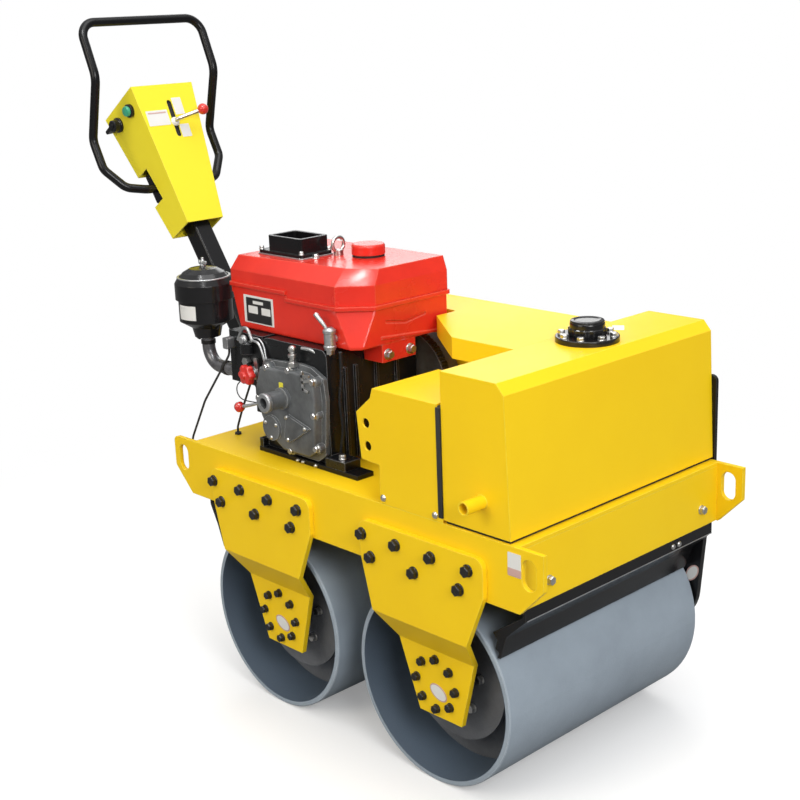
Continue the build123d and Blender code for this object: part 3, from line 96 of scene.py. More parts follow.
def lathe(profile, sides, phase=0.0, wave=None):
    """A turned shape about +Z. Point (i, j) is at profile radius i and height i, turned by 2 pi j / sides.
    wave(angle) may multiply the radius, for lobes or teeth."""
    profile = np.asarray(profile, float)
    angle = phase + 2 * pi * np.arange(sides) / sides
    radius = profile[:, :1] * (wave(angle) if wave else np.ones(sides))
    height = np.repeat(profile[:, 1:], sides, 1)
    points = np.stack([radius * np.cos(angle), radius * np.sin(angle), height], -1).reshape(-1, 3)
    return points, grid_faces(len(profile), sides)[:, ::-1]


print("a turned shape of 4 rows and 6 sides has", len(grid_faces(4, 6)), "faces")

# %% [markdown]
# A shape is worked out once, standing at the zero point, and then carried to its place. Three unit vectors
# as the rows of a matrix turn all of its points at once, so a bolt that faces sideways needs no new formula.

# %% Placing and joining
NEARLY_UPRIGHT = 0.95


def axes_of(direction):
    """Three unit vectors as rows: the last is the direction and the first is +Z cross the direction,
    or +X cross it where the direction is nearly upright."""
    w = np.asarray(direction, float)
    w = w / np.linalg.norm(w)
    helper = (1.0, 0.0, 0.0) if abs(w[2]) > NEARLY_UPRIGHT else (0.0, 0.0, 1.0)
    u = np.cross(helper, w)
    u = u / np.linalg.norm(u)
    return np.stack([u, np.cross(w, u), w])


def put(part, origin, direction):
    """The same points with +Z along the direction and the zero point at the origin."""
    points, faces = part
    return points @ axes_of(direction) + origin, faces


def lay(part, origin, normal, across):
    """The same points with +Z along the normal and +X along the across direction, from the origin."""
    points, faces = part
    w = np.asarray(normal, float) / np.linalg.norm(normal)
    u = np.asarray(across, float) - w * (np.asarray(across, float) @ w)
    u = u / np.linalg.norm(u)
    return points @ np.stack([u, np.cross(w, u), w]) + np.asarray(origin, float), faces


def join(parts):
    """Several parts as one: the faces of each count on from the points before it."""
    starts = np.cumsum([0] + [len(points) for points, _ in parts[:-1]])
    faces = [face_rows + start for (_, face_rows), start in zip(parts, starts)]
    return np.concatenate([points for points, _ in parts]), np.concatenate(faces)


def copies(part, origins, direction):
    """One copy of the part at each origin, all facing one way."""
    points, faces = part
    turned = points @ axes_of(direction)
    shifts = np.arange(len(origins))[:, None, None] * len(points)
    return (turned[None] + origins[:, None]).reshape(-1, 3), (faces[None] + shifts).reshape(-1, 4)


def mm(*values):
    """Millimetres as metres."""
    return np.array(values, float) / 1000.0


square_ring = lathe([(1, 0), (1, 1)], 4)
print("three copies of a square ring have", len(copies(square_ring, np.eye(3), (0, 0, 1))[0]), "points")

# %% [markdown]
# Blender keeps a mesh and the object that shows it apart. One helper makes both from the arrays, merges
# doubled points, shades the faces smooth except over sharp angles, and ties the object to a CAD body,
# so that it moves when the body does.

# %% From arrays to objects
SHARP_ANGLE = radians(35.0)
MERGE_DISTANCE = 1e-6


def piece(name, part, body, coat, slot=None):
    """Makes the object, merges the points of each pole or seam, turns the faces outwards
    and rides it on its body."""
    points, faces = part
    mesh = bpy.data.meshes.new(name)
    mesh.from_pydata(points.tolist(), [], faces.tolist())
    work = bmesh.new()
    work.from_mesh(mesh)
    bmesh.ops.remove_doubles(work, verts=work.verts, dist=MERGE_DISTANCE)
    bmesh.ops.recalc_face_normals(work, faces=work.faces)
    work.to_mesh(mesh)
    work.free()
    mesh.shade_smooth()
    mesh.set_sharp_from_angle(angle=SHARP_ANGLE)
    obj = bpy.data.objects.new(name, mesh)
    bpy.context.scene.collection.objects.link(obj)
    obj.data.materials.append(coat)
    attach(obj, body)
    print(name, "has", len(mesh.polygons), "faces and rides on", body)
    return obj


def spun(name, rows, origin, direction, body, coat, slot=None, sides=32, wave=None):
    """A lathe shape from a profile in millimetres, stood on an origin in millimetres or already in metres."""
    place = origin if isinstance(origin, np.ndarray) else mm(*origin)
    turned = put(lathe(mm(*rows), sides, wave=wave), place, direction)
    return piece(name, turned, body, coat, slot)


print("pieces are smooth up to", round(SHARP_ANGLE / pi * 180), "degrees")

# %% [markdown]
# ## Pipes, plates and labels
#
# Three more shapes cover the small parts. A pipe is a circle carried along a curve. A slab is an outline
# given a thickness and a small bevel. A film is a thin label that lies on a flat or a round face.

# %% Pipes
CURVE_STEPS = 8
ODD_WAY = (0.31, 0.17, 0.94)


def through(points):
    """A Catmull-Rom curve through points in millimetres, as metres. With a, b, c, d four neighbours, the part
    from b to c is 0.5 (2b + (c-a) t + (2a-5b+4c-d) t^2 + (3b-3c+d-a) t^3)."""
    p = np.asarray(points, float)
    p = np.concatenate([2 * p[:1] - p[1:2], p, 2 * p[-1:] - p[-2:-1]])
    t = np.linspace(0, 1, CURVE_STEPS, endpoint=False)[None, :, None]
    a, b, c, d = (p[i:len(p) - 3 + i, None] for i in range(4))
    curve = 2 * b + (c - a) * t + (2 * a - 5 * b + 4 * c - d) * t ** 2 + (3 * b - 3 * c + d - a) * t ** 3
    return np.concatenate([0.5 * curve.reshape(-1, 3), p[-2:-1]]) / 1000.0


def pipe(path, radius, sides=14):
    """A circle along a path: centre plus radius times (cos a U + sin a V), with U and V across the tangent.
    U is the tangent crossed with an odd direction that no pipe here follows. Rows of radius zero close it."""
    tangent = np.gradient(path, axis=0)
    tangent /= np.linalg.norm(tangent, axis=1)[:, None]
    u = np.cross(ODD_WAY, tangent)
    u /= np.linalg.norm(u, axis=1)[:, None]
    v = np.cross(tangent, u)
    angle = 2 * pi * np.arange(sides) / sides
    radius = np.concatenate([[0.0], np.broadcast_to(radius, (len(path),)), [0.0]])[:, None, None]
    path, u, v = (np.concatenate([row[:1], row, row[-1:]])[:, None, :] for row in (path, u, v))
    points = path + radius * (np.cos(angle)[None, :, None] * u + np.sin(angle)[None, :, None] * v)
    return points.reshape(-1, 3), grid_faces(len(points), sides)


print("a pipe through four points has", len(pipe(through(np.eye(4, 3) * 50), 0.002)[1]), "faces")

# %% Plates and labels
CORNER_STEPS, OVAL_STEPS, WRAP_STEPS = 5, 32, 12
FILM = 0.6
NEAR, FAR, UPWARD, FORWARD, REARWARD = (0, -1, 0), (0, 1, 0), (0, 0, 1), (1, 0, 0), (-1, 0, 0)


def rounded_outline(width, height, corner):
    """A rectangle with quarter circles of the corner radius, as points going round it."""
    angle = np.linspace(0, pi / 2, CORNER_STEPS)[None, :] + (pi / 2) * np.arange(4)[:, None]
    centre_x = (width / 2 - corner) * np.array((1, -1, -1, 1))[:, None]
    centre_y = (height / 2 - corner) * np.array((1, 1, -1, -1))[:, None]
    return np.stack([centre_x + corner * np.cos(angle), centre_y + corner * np.sin(angle)], -1).reshape(-1, 2)


def oval_outline(width, height):
    """An ellipse as points going round it: half the width times cos a, half the height times sin a."""
    angle = 2 * pi * np.arange(OVAL_STEPS) / OVAL_STEPS
    return np.stack([width / 2 * np.cos(angle), height / 2 * np.sin(angle)], -1)


def slab(outline, thickness, bevel=0.0):
    """The outline raised by the thickness along +Z. The bevel draws the last ring in towards the middle."""
    middle = outline.mean(axis=0)
    spread = np.linalg.norm(outline - middle, axis=1)[:, None]
    inner = middle + (outline - middle) * (1 - bevel / spread)
    pole = np.repeat(middle[None], len(outline), 0)
    rows = [(pole, 0.0), (outline, 0.0), (outline, thickness - bevel), (inner, thickness), (pole, thickness)]
    points = np.concatenate([np.column_stack([xy, np.full(len(xy), z)]) for xy, z in rows])
    return points, grid_faces(len(rows), len(outline))[:, ::-1]


def film(width, height, origin, normal=NEAR, across=FORWARD, corner=1.5, thickness=FILM):
    """A thin rounded slab on a flat face. The sizes are in millimetres and the origin in metres."""
    outline = rounded_outline(width / 1000, height / 1000, corner / 1000)
    return lay(slab(outline, thickness / 1000), origin, normal, across)


def film_round(centre, radius, angles, heights):
    """A film on a round wall about +Z. It has one skin at the radius and one a film's thickness outside,
    over a range of angles and heights, and its edges join the two."""
    a = np.radians(np.linspace(*angles, WRAP_STEPS))
    grid_a, grid_z = np.meshgrid(a, np.linspace(*heights, 4), indexing="ij")
    inside, outside = (np.stack([centre[0] + r * np.cos(grid_a), centre[1] + r * np.sin(grid_a), grid_z], -1)
                       for r in (radius, radius + FILM / 1000))
    rings = np.concatenate([inside, outside[:, ::-1]], axis=1)
    end = np.array([[0, 1, 6, 7], [1, 2, 5, 6], [2, 3, 4, 5]])
    faces = [grid_faces(WRAP_STEPS, 8), end, end[:, ::-1] + (WRAP_STEPS - 1) * 8]
    return rings.reshape(-1, 3), np.concatenate(faces)


print("a label has", len(film(40, 20, (0, 0, 0))[1]), "faces")

# %% [markdown]
# ## Shared surface effects
#
# The CAD edges are knife sharp, while real sheet and castings have a small radius that catches the light.
# Modelling each one would cost many faces. The Bevel node bends the normal near an edge instead,
# and the angle between the bent and the true normal tells where an edge is. There the colour turns lighter:
# partly chipped paint and partly a painted highlight.
# Both sit in one node group, so every finish can use it with its own radius.

# %% Helpers for shader nodes
def new_group(name, inputs, outputs):
    """A shader group with its sockets. Each row of inputs has a name, a socket type and a value."""
    group = bpy.data.node_groups.new(name, "ShaderNodeTree")
    for label, kind, value in inputs:
        socket = group.interface.new_socket(label, in_out="INPUT", socket_type=kind)
        socket.default_value = value
    for label, kind in outputs:
        group.interface.new_socket(label, in_out="OUTPUT", socket_type=kind)
    return group, group.nodes.new("NodeGroupInput"), group.nodes.new("NodeGroupOutput")


def node(tree, kind, **settings):
    """A node of that kind. A setting that names an input socket sets its value, any other a property."""
    made = tree.nodes.new("ShaderNode" + kind)
    for key, value in settings.items():
        if hasattr(made, key):
            setattr(made, key, value)
        else:
            made.inputs[key.replace("_", " ")].default_value = value
    return made


def math(tree, operation, first, second=None, clamp=False):
    """One arithmetic step. Each side is a socket or a number."""
    made = tree.nodes.new("ShaderNodeMath")
    made.operation, made.use_clamp = operation, clamp
    for socket, value in zip(made.inputs, (first, second)):
        if isinstance(value, bpy.types.NodeSocket):
            tree.links.new(value, socket)
        elif value is not None:
            socket.default_value = value
    return made.outputs[0]


FLOAT, COLOUR, VECTOR = "NodeSocketFloat", "NodeSocketColor", "NodeSocketVector"
print("groups take sockets of", FLOAT, COLOUR, "and", VECTOR)

# %% Node group: soft edges
# How strongly edges turn lighter: partly chipped paint, partly a painted highlight.
EDGE_CHIP_AND_HIGHLIGHT_GAIN = 6.0
EDGE_INPUTS = [("Radius", FLOAT, 0.002), ("Edge Noise Scale", FLOAT, 60.0)]
soft_edges, g_in, g_out = new_group("soft_edges", EDGE_INPUTS, [("Normal", VECTOR), ("Edge", FLOAT)])
bevel = node(soft_edges, "Bevel", samples=4)
geometry = node(soft_edges, "NewGeometry")
dot = node(soft_edges, "VectorMath", operation="DOT_PRODUCT")
place = node(soft_edges, "TexCoord")
edge_noise = node(soft_edges, "TexNoise", Detail=4.0, Roughness=0.7)
soft_edges.links.new(g_in.outputs["Radius"], bevel.inputs["Radius"])
soft_edges.links.new(g_in.outputs["Edge Noise Scale"], edge_noise.inputs["Scale"])
soft_edges.links.new(place.outputs["Object"], edge_noise.inputs["Vector"])
soft_edges.links.new(bevel.outputs["Normal"], dot.inputs[0])
soft_edges.links.new(geometry.outputs["Normal"], dot.inputs[1])
# Near edges the mask turns the colour lighter, partly chipped paint and partly a painted highlight. The noise
# breaks it up.
bent = math(soft_edges, "SUBTRACT", 1.0, dot.outputs["Value"], clamp=True)
gained = math(soft_edges, "MULTIPLY", bent, EDGE_CHIP_AND_HIGHLIGHT_GAIN)
chipped_and_lit_edge = math(soft_edges, "MULTIPLY", gained, edge_noise.outputs["Fac"], clamp=True)
soft_edges.links.new(bevel.outputs["Normal"], g_out.inputs["Normal"])
soft_edges.links.new(chipped_and_lit_edge, g_out.inputs["Edge"])
print("soft_edges has", len(soft_edges.nodes), "nodes")

# %% [markdown]
# Fresh enamel is not one flat colour. The spray leaves broad lighter and darker clouds and a fine peel
# like orange skin. A second group makes both from noise on object coordinates, so the pattern is fixed
# to the piece and moves with it.

# %% Node group: sprayed coat
CLOUD_STARTS, CLOUD_FULL = 0.35, 0.7
CLOUD_ROUGHNESS = 0.08
SPRAY_INPUTS = [
    ("Colour", COLOUR, (1, 1, 1, 1)), ("Shade", COLOUR, (0, 0, 0, 1)), ("Edge Colour", COLOUR, (1, 1, 1, 1)),
    ("Edge", FLOAT, 0.0), ("Cloud Scale", FLOAT, 5.0), ("Peel Scale", FLOAT, 320.0),
    ("Roughness", FLOAT, 0.3),
]
sprayed, g_in, g_out = new_group(
    "sprayed", SPRAY_INPUTS, [("Colour", COLOUR), ("Roughness", FLOAT), ("Height", FLOAT)])
place = node(sprayed, "TexCoord")
cloud = node(sprayed, "TexNoise", Detail=5.0, Roughness=0.6)
peel = node(sprayed, "TexNoise", Detail=2.0, Roughness=0.5)
sprayed.links.new(place.outputs["Object"], cloud.inputs["Vector"])
sprayed.links.new(place.outputs["Object"], peel.inputs["Vector"])
sprayed.links.new(g_in.outputs["Cloud Scale"], cloud.inputs["Scale"])
sprayed.links.new(g_in.outputs["Peel Scale"], peel.inputs["Scale"])
spread = node(sprayed, "MapRange", From_Min=CLOUD_STARTS, From_Max=CLOUD_FULL, To_Min=0.0, To_Max=1.0)
sprayed.links.new(cloud.outputs["Fac"], spread.inputs["Value"])
tint = node(sprayed, "Mix", data_type="RGBA")
edge_tint = node(sprayed, "Mix", data_type="RGBA")
sprayed.links.new(spread.outputs["Result"], tint.inputs["Factor"])
sprayed.links.new(g_in.outputs["Colour"], tint.inputs["A"])
sprayed.links.new(g_in.outputs["Shade"], tint.inputs["B"])
# Where the edge mask is up, the colour turns to the edge colour: partly chipped paint, partly a painted
# highlight.
sprayed.links.new(g_in.outputs["Edge"], edge_tint.inputs["Factor"])
sprayed.links.new(tint.outputs["Result"], edge_tint.inputs["A"])
sprayed.links.new(g_in.outputs["Edge Colour"], edge_tint.inputs["B"])
clouded = math(sprayed, "MULTIPLY", spread.outputs["Result"], CLOUD_ROUGHNESS)
rougher = math(sprayed, "ADD", g_in.outputs["Roughness"], clouded)
sprayed.links.new(edge_tint.outputs["Result"], g_out.inputs["Colour"])
sprayed.links.new(rougher, g_out.inputs["Roughness"])
sprayed.links.new(peel.outputs["Fac"], g_out.inputs["Height"])
print("sprayed has", len(sprayed.nodes), "nodes")

# %% [markdown]
# ## The finishes
#
# One function mixes the two groups into a finish. The colours that differ over the surface go through the
# groups. What is the same all over, such as how metallic a finish is or how strong its clear coat is,
# is set on the shader's own socket. Each finish has three colours: the coat's own, the one of its shadier
# clouds and a lighter one at its edges, partly chipped paint and partly a painted highlight.

# %% A finish
PEEL_STRENGTH = 0.6
COAT_ROUGHNESS = 0.12


def finish(name, colour, shade, edge, rough, metal=0.0, coat=0.0, peel=0.0002, radius=0.002,
           clouds=5.0, grain=320.0, edge_noise_scale=60.0, gloss=0.5):
    """A painted, cast or moulded finish from the two groups. Peel and radius are in metres."""
    made = bpy.data.materials.new(name)
    made.use_nodes = True
    tree = made.node_tree
    shader = tree.nodes["Principled BSDF"]
    edges = tree.nodes.new("ShaderNodeGroup")
    edges.node_tree = soft_edges
    edges.inputs["Radius"].default_value = radius
    edges.inputs["Edge Noise Scale"].default_value = edge_noise_scale
    spray = tree.nodes.new("ShaderNodeGroup")
    spray.node_tree = sprayed
    for label, value in (("Colour", colour), ("Shade", shade), ("Edge Colour", edge)):
        spray.inputs[label].default_value = (*value, 1.0)
    for label, value in (("Cloud Scale", clouds), ("Peel Scale", grain), ("Roughness", rough)):
        spray.inputs[label].default_value = value
    bump = node(tree, "Bump", Strength=PEEL_STRENGTH, Distance=peel)
    tree.links.new(edges.outputs["Edge"], spray.inputs["Edge"])
    tree.links.new(spray.outputs["Height"], bump.inputs["Height"])
    tree.links.new(edges.outputs["Normal"], bump.inputs["Normal"])
    tree.links.new(spray.outputs["Colour"], shader.inputs["Base Color"])
    tree.links.new(spray.outputs["Roughness"], shader.inputs["Roughness"])
    tree.links.new(bump.outputs["Normal"], shader.inputs["Normal"])
    for label, value in (("Metallic", metal), ("Coat Weight", coat), ("Coat Roughness", COAT_ROUGHNESS),
                         ("Specular IOR Level", gloss)):
        shader.inputs[label].default_value = value
    return made


print("a finish sets its clear coat's roughness to", COAT_ROUGHNESS)

# %% Enamels
# The third colour of each finish is its edge colour: partly chipped paint, partly a painted highlight.
yellow_enamel = finish(
    "yellow_enamel", (0.94, 0.625, 0.009), (0.91, 0.59, 0.008), (0.98, 0.84, 0.10),
    rough=0.40, coat=0.06, peel=0.0003, radius=0.0025, clouds=3.0, edge_noise_scale=30.0, gloss=0.18)
console_enamel = finish(
    "console_enamel", (0.93, 0.79, 0.036), (0.91, 0.76, 0.032), (0.98, 0.92, 0.20),
    rough=0.36, coat=0.08, peel=0.0003, radius=0.002, clouds=3.0, edge_noise_scale=30.0, gloss=0.2)
red_enamel = finish(
    "red_enamel", (0.78, 0.035, 0.018), (0.66, 0.024, 0.014), (0.90, 0.16, 0.09),
    rough=0.22, coat=0.15, peel=0.0002, radius=0.004, clouds=6.0, gloss=0.35)
black_enamel = finish(
    "black_enamel", (0.008, 0.008, 0.009), (0.005, 0.005, 0.006), (0.05, 0.05, 0.05),
    rough=0.20, radius=0.003, gloss=0.26)
engine_enamel = finish(
    "engine_enamel", (0.010, 0.011, 0.012), (0.005, 0.005, 0.006), (0.22, 0.23, 0.24),
    rough=0.24, peel=0.0006, grain=160.0, radius=0.003, gloss=0.32)
cast_enamel = finish(
    "cast_enamel", (0.135, 0.144, 0.150), (0.055, 0.059, 0.062), (0.60, 0.61, 0.62),
    rough=0.34, peel=0.0010, grain=210.0, radius=0.002, clouds=18.0)
hub_iron = finish(
    "hub_iron", (0.160, 0.168, 0.185), (0.080, 0.085, 0.095), (0.16, 0.17, 0.18),
    rough=0.55, peel=0.0012, grain=150.0)
drum_enamel = finish(
    "drum_enamel", (0.330, 0.390, 0.450), (0.280, 0.330, 0.385), (0.72, 0.75, 0.78),
    rough=0.46, peel=0.0006, clouds=7.0, radius=0.0022, gloss=0.35)
elbow_enamel = finish(
    "elbow_enamel", (0.20, 0.20, 0.21), (0.09, 0.09, 0.10), (0.45, 0.45, 0.46),
    rough=0.26, metal=0.5, radius=0.002, clouds=25.0)
print(len([m for m in bpy.data.materials if m.use_nodes]), "enamels")

# %% Bare metal, plastic, rubber and labels
# The third colour of each finish is its edge colour: partly chipped paint, partly a painted highlight.
bright_steel = finish(
    "bright_steel", (0.62, 0.61, 0.59), (0.45, 0.45, 0.44), (0.85, 0.85, 0.84),
    rough=0.28, metal=1.0, radius=0.0008, clouds=40.0)
black_oxide = finish(
    "black_oxide", (0.008, 0.007, 0.007), (0.005, 0.005, 0.005), (0.08, 0.07, 0.06),
    rough=0.24, radius=0.0012, gloss=0.5)
zinc_cast = finish(
    "zinc_cast", (0.50, 0.51, 0.52), (0.30, 0.31, 0.32), (0.80, 0.80, 0.80),
    rough=0.38, metal=0.9, peel=0.0010, grain=240.0, clouds=30.0, radius=0.002)
black_moulding = finish(
    "black_moulding", (0.010, 0.010, 0.011), (0.006, 0.006, 0.007), (0.05, 0.05, 0.05),
    rough=0.15, peel=0.0001, radius=0.0015, gloss=0.4)
red_moulding = finish(
    "red_moulding", (0.72, 0.03, 0.02), (0.58, 0.02, 0.015), (0.85, 0.12, 0.08),
    rough=0.25, coat=0.4, radius=0.001)
green_moulding = finish(
    "green_moulding", (0.05, 0.42, 0.26), (0.03, 0.34, 0.20), (0.20, 0.60, 0.42),
    rough=0.3, coat=0.3, radius=0.001)
rubber = finish(
    "rubber", (0.014, 0.014, 0.014), (0.008, 0.008, 0.008), (0.04, 0.04, 0.04), rough=0.75, peel=0.0008)
label_film = finish(
    "label_film", (0.78, 0.78, 0.76), (0.72, 0.72, 0.70), (0.80, 0.80, 0.78), rough=0.35, radius=0.0003)
label_pink = finish(
    "label_pink", (0.62, 0.40, 0.36), (0.55, 0.34, 0.30), (0.66, 0.46, 0.42), rough=0.4, radius=0.0003)
label_yellow = finish(
    "label_yellow", (0.80, 0.72, 0.05), (0.74, 0.66, 0.04), (0.82, 0.76, 0.10), rough=0.4, radius=0.0003)
label_black = finish(
    "label_black", (0.015, 0.015, 0.016), (0.010, 0.010, 0.011), (0.03, 0.03, 0.03), rough=0.4, radius=0.0003)
print(len([m for m in bpy.data.materials if m.use_nodes]), "finishes")

# %% [markdown]
# Little light reaches inside the drums, so a darker tint is painted there as shade. A distance from the axle
# tells inside from outside: the paint node asks where a point lies and takes the darker tint within a reach.

# %% Painted shade inside the drums
DRUM_AXLE, AXLE_HEIGHT, RIM_INSIDE = 249.0, 212.5, 201.5
# The dark tint of the drums' insides: painted shade.
PAINTED_DRUM_SHADE = (0.085, 0.115, 0.155)


def paint_shade_inside(coat, tint, axle_x, axle_z, reach):
    """Nearer to a drum's axle than the reach, the colour takes the tint, a painted shade. The squares
    of the distances along and up from the axle, added, are less than the square of the reach there."""
    tree = coat.node_tree
    base = tree.nodes["Principled BSDF"].inputs["Base Color"]
    place = node(tree, "TexCoord")
    split = node(tree, "SeparateXYZ")
    tree.links.new(place.outputs["Object"], split.inputs[0])
    along = math(tree, "SUBTRACT", math(tree, "ABSOLUTE", split.outputs["X"]), axle_x)
    high = math(tree, "SUBTRACT", split.outputs["Z"], axle_z)
    squares = math(tree, "ADD", math(tree, "MULTIPLY", along, along), math(tree, "MULTIPLY", high, high))
    blend = node(tree, "Mix", data_type="RGBA")
    blend.inputs["B"].default_value = (*tint, 1.0)
    tree.links.new(math(tree, "LESS_THAN", squares, reach ** 2), blend.inputs["Factor"])
    tree.links.new(base.links[0].from_socket, blend.inputs["A"])
    tree.links.new(blend.outputs["Result"], base)


paint_shade_inside(drum_enamel, PAINTED_DRUM_SHADE, DRUM_AXLE / 1000, AXLE_HEIGHT / 1000, RIM_INSIDE / 1000)
print("the drums darken within", RIM_INSIDE, "mm of their axles")

# %% [markdown]
# Each CAD node takes the finish of its material slot in the record, and a few take one of their own.
# The engine's gear cover is a dull casting, the tank, the frame and the hopper are enamel, and little
# is bare metal.

# %% Dress the CAD nodes
SLOT_FINISH = {
    "yellow_paint": yellow_enamel, "black_paint": black_enamel, "drum_paint": drum_enamel,
    "red_paint": red_enamel, "engine_black": engine_enamel, "cast_grey": cast_enamel,
    "bare_steel": bright_steel, "zinc": zinc_cast, "black_plastic": black_moulding,
    "red_plastic": red_moulding, "black_rubber": rubber,
}
OWN_FINISH = {
    "console": console_enamel, "drum_hub_front": hub_iron, "drum_hub_rear": hub_iron,
    "intake_elbow": elbow_enamel, "air_filter_bowl": black_moulding, "air_filter_dome": black_moulding,
}
for row in frame["record"]["subparts"]:
    painted = nodes[row["node"]]
    painted.data.materials.clear()
    painted.data.materials.append(OWN_FINISH.get(row["node"], SLOT_FINISH[row["material_slot"]]))

# %% [markdown]
# ## Bolts
#
# A hexagon head is a turned shape with six sides: a washer, the flanks, a chamfer and a flat top.
# One small head of about a hundred faces is copied to every place in a table.

# %% Bolt heads
BRIGHT, DARK, ZINC = (bright_steel, "bare_steel"), (black_oxide, "black_paint"), (zinc_cast, "zinc")
# The turn is in radians. The others are shares: of the width across the flats, of the washer's height and
# radius, and of the head's height and radius.
HEX_TURN = 0.4
WASHER_RADIUS, WASHER_EDGE, WASHER_TOP = 0.62, 0.7, 0.94
CHAMFER_HEIGHT, CHAMFER_RADIUS = 0.82, 0.86


def hex_head(across_flats, height, washer=None, lift=0.002):
    """A six-sided head on a round washer as high as the lift, in metres. The profile's radii are corner
    radii, so half the width across the flats over cos 30 degrees."""
    corner = across_flats / 2 / cos(pi / 6)
    washer = washer or across_flats * WASHER_RADIUS
    head = lathe([(0, lift), (corner, lift), (corner, lift + height * CHAMFER_HEIGHT),
                  (corner * CHAMFER_RADIUS, lift + height), (0, lift + height)], 6, phase=HEX_TURN)
    ring = lathe([(0, 0), (washer, 0), (washer, lift * WASHER_EDGE), (washer * WASHER_TOP, lift),
                  (0, lift)], 20)
    return join([ring, head])


def dome_screw(radius, height):
    """A round domed head: the radius falls as a quarter ellipse while the height grows."""
    t = np.linspace(0, pi / 2, 7)
    profile = np.stack([radius * np.cos(t), height * np.sin(t)], 1)
    return lathe(np.concatenate([[(0, 0)], profile]), 20)


def bolt_rows(name, head, places, direction, coat, slot, body="frame"):
    """All the heads of one table of places in millimetres, as a single piece."""
    return piece(name, copies(head, mm(*places), direction), body, coat, slot)


def evenly(count, start=0.0):
    """That many angles round a circle, from a start in degrees."""
    return radians(start) + np.arange(count) * 2 * pi / count


def upright_ring(x, y, z, radius, angles):
    """Places round (x, y, z): the radius times the cosine forward and times the sine upward."""
    return [(x + radius * cos(a), y, z + radius * sin(a)) for a in angles]


frame_bolt = hex_head(0.021, 0.010)
foot_bolt = hex_head(0.016, 0.009)
print("a frame bolt has", len(frame_bolt[1]), "faces")

# %% Bolts of the hangers and the drums
UPPER_FACE, LOWER_FACE = -347.0, -295.0
HUB_NEAR, HUB_FAR = -242.0, 238.0
AXLE_RING, HUB_RING = 55, 76
HUB_START = -48
AXLES = (("front", DRUM_AXLE), ("rear", -DRUM_AXLE))
for end, axle in AXLES:
    high = [(axle + dx, UPPER_FACE, 518.0) for dx in (-147, -49, 49, 147)]
    low = [(axle + dx, UPPER_FACE, 473.0) for dx in (-123, 0, 123)]
    bolt_rows(f"hanger_bolts_{end}", frame_bolt, high + low, NEAR, *DARK)
    ring = upright_ring(axle, LOWER_FACE, AXLE_HEIGHT, AXLE_RING, evenly(8))
    bolt_rows(f"axle_bolts_{end}", foot_bolt, ring, NEAR, *DARK)
    for side, face, direction in (("near", HUB_NEAR, NEAR), ("far", HUB_FAR, FAR)):
        ring = upright_ring(axle, face, AXLE_HEIGHT, HUB_RING, evenly(6, HUB_START))
        bolt_rows(f"hub_bolts_{side}_{end}", foot_bolt, ring, direction, *BRIGHT, f"drum_{end}")

# %% Bolts of the frame and the tank
FILLER = (386, 20)
FILLER_RING = 53
filler_bolts = [(FILLER[0] + FILLER_RING * cos(a), FILLER[1] + FILLER_RING * sin(a), 901)
                for a in evenly(8, 25)]
drive_bolts = [(x, 321, 525) for x in (-430, -300, -100, 100, 300, 430)]
FRAME_BOLTS = [
    ("front_beam_bolts", foot_bolt, [(510, -247, 500), (510, 243, 500)], FORWARD, BRIGHT),
    ("rear_beam_bolts", foot_bolt, [(-485, -247, 500), (-485, 243, 500)], REARWARD, BRIGHT),
    ("guard_screws", dome_screw(0.0075, 0.005), [(158, -335, 603), (302, -335, 602)], NEAR, BRIGHT),
    ("drive_plate_bolts", frame_bolt, drive_bolts, FAR, DARK),
    ("filler_bolts", hex_head(0.013, 0.007, 0.008, 0.001), filler_bolts, UPWARD, BRIGHT),
    ("scraper_bolts", dome_screw(0.0065, 0.005), [(502, 156, 441), (502, 177, 441)], FORWARD, BRIGHT),
]
for name, head, places, direction, look in FRAME_BOLTS:
    bolt_rows(name, head, places, direction, *look)

# %% [markdown]
# ## Painted shade and highlight strips, and labels
#
# A thin bright pipe along each black scraper's bend stands for the bright line there: a painted highlight.
# A label is a film a little proud of its face, so its edge catches light as a real one's does.
# Every label is blank: only its place, its size and its fields of colour come from the photo.

# %% Painted highlight strips on the scrapers and painted shade in the tank's gap
# Bright zinc pipes along the scrapers' bends: painted highlights.
HIGHLIGHT_STRIP_RADIUS = 0.0011
for end, strip_x in (("front", 501.9), ("rear", -476.9)):
    highlight_path = through([(strip_x, y, 430) for y in (-300, -100, 100, 296)])
    piece(f"scraper_highlight_strip_{end}", pipe(highlight_path, HIGHLIGHT_STRIP_RADIUS, 8), "frame", *ZINC)

# A black strip in the gap between the guard and the tank stands for the shade there: painted shade.
GAP_SHADE_CORNER, GAP_SHADE_BEVEL = 0.0008, 0.0004
gap_shade_low, gap_shade_high = mm(311, -336.2, 600), mm(321.4, -329, 819)
gap_shade_size = gap_shade_high - gap_shade_low
gap_shade_foot = (gap_shade_low + gap_shade_high) / 2 - (0, 0, gap_shade_size[2] / 2)
gap_shade = slab(rounded_outline(gap_shade_size[0], gap_shade_size[1], GAP_SHADE_CORNER), gap_shade_size[2], GAP_SHADE_BEVEL)
piece("guard_gap_shade", lay(gap_shade, gap_shade_foot, UPWARD, FORWARD), "frame", rubber, "black_rubber")

# %% Labels
RIM_AND_FACE = (("rim", label_pink, 6, 0.0), ("face", label_film, 0, 0.5))


def oval_plate(name, width, height, place, across, end=""):
    """An oval on a near side face: a rim and, half a millimetre further out, a smaller face."""
    for layer, coat, wider, lift in RIM_AND_FACE:
        oval = slab(oval_outline((width + wider) / 1000, (height + wider) / 1000), FILM / 1000)
        place_out = mm(place[0], place[1] - lift, place[2])
        piece(f"{name}_{layer}{end}", lay(oval, place_out, NEAR, across), "frame", coat)


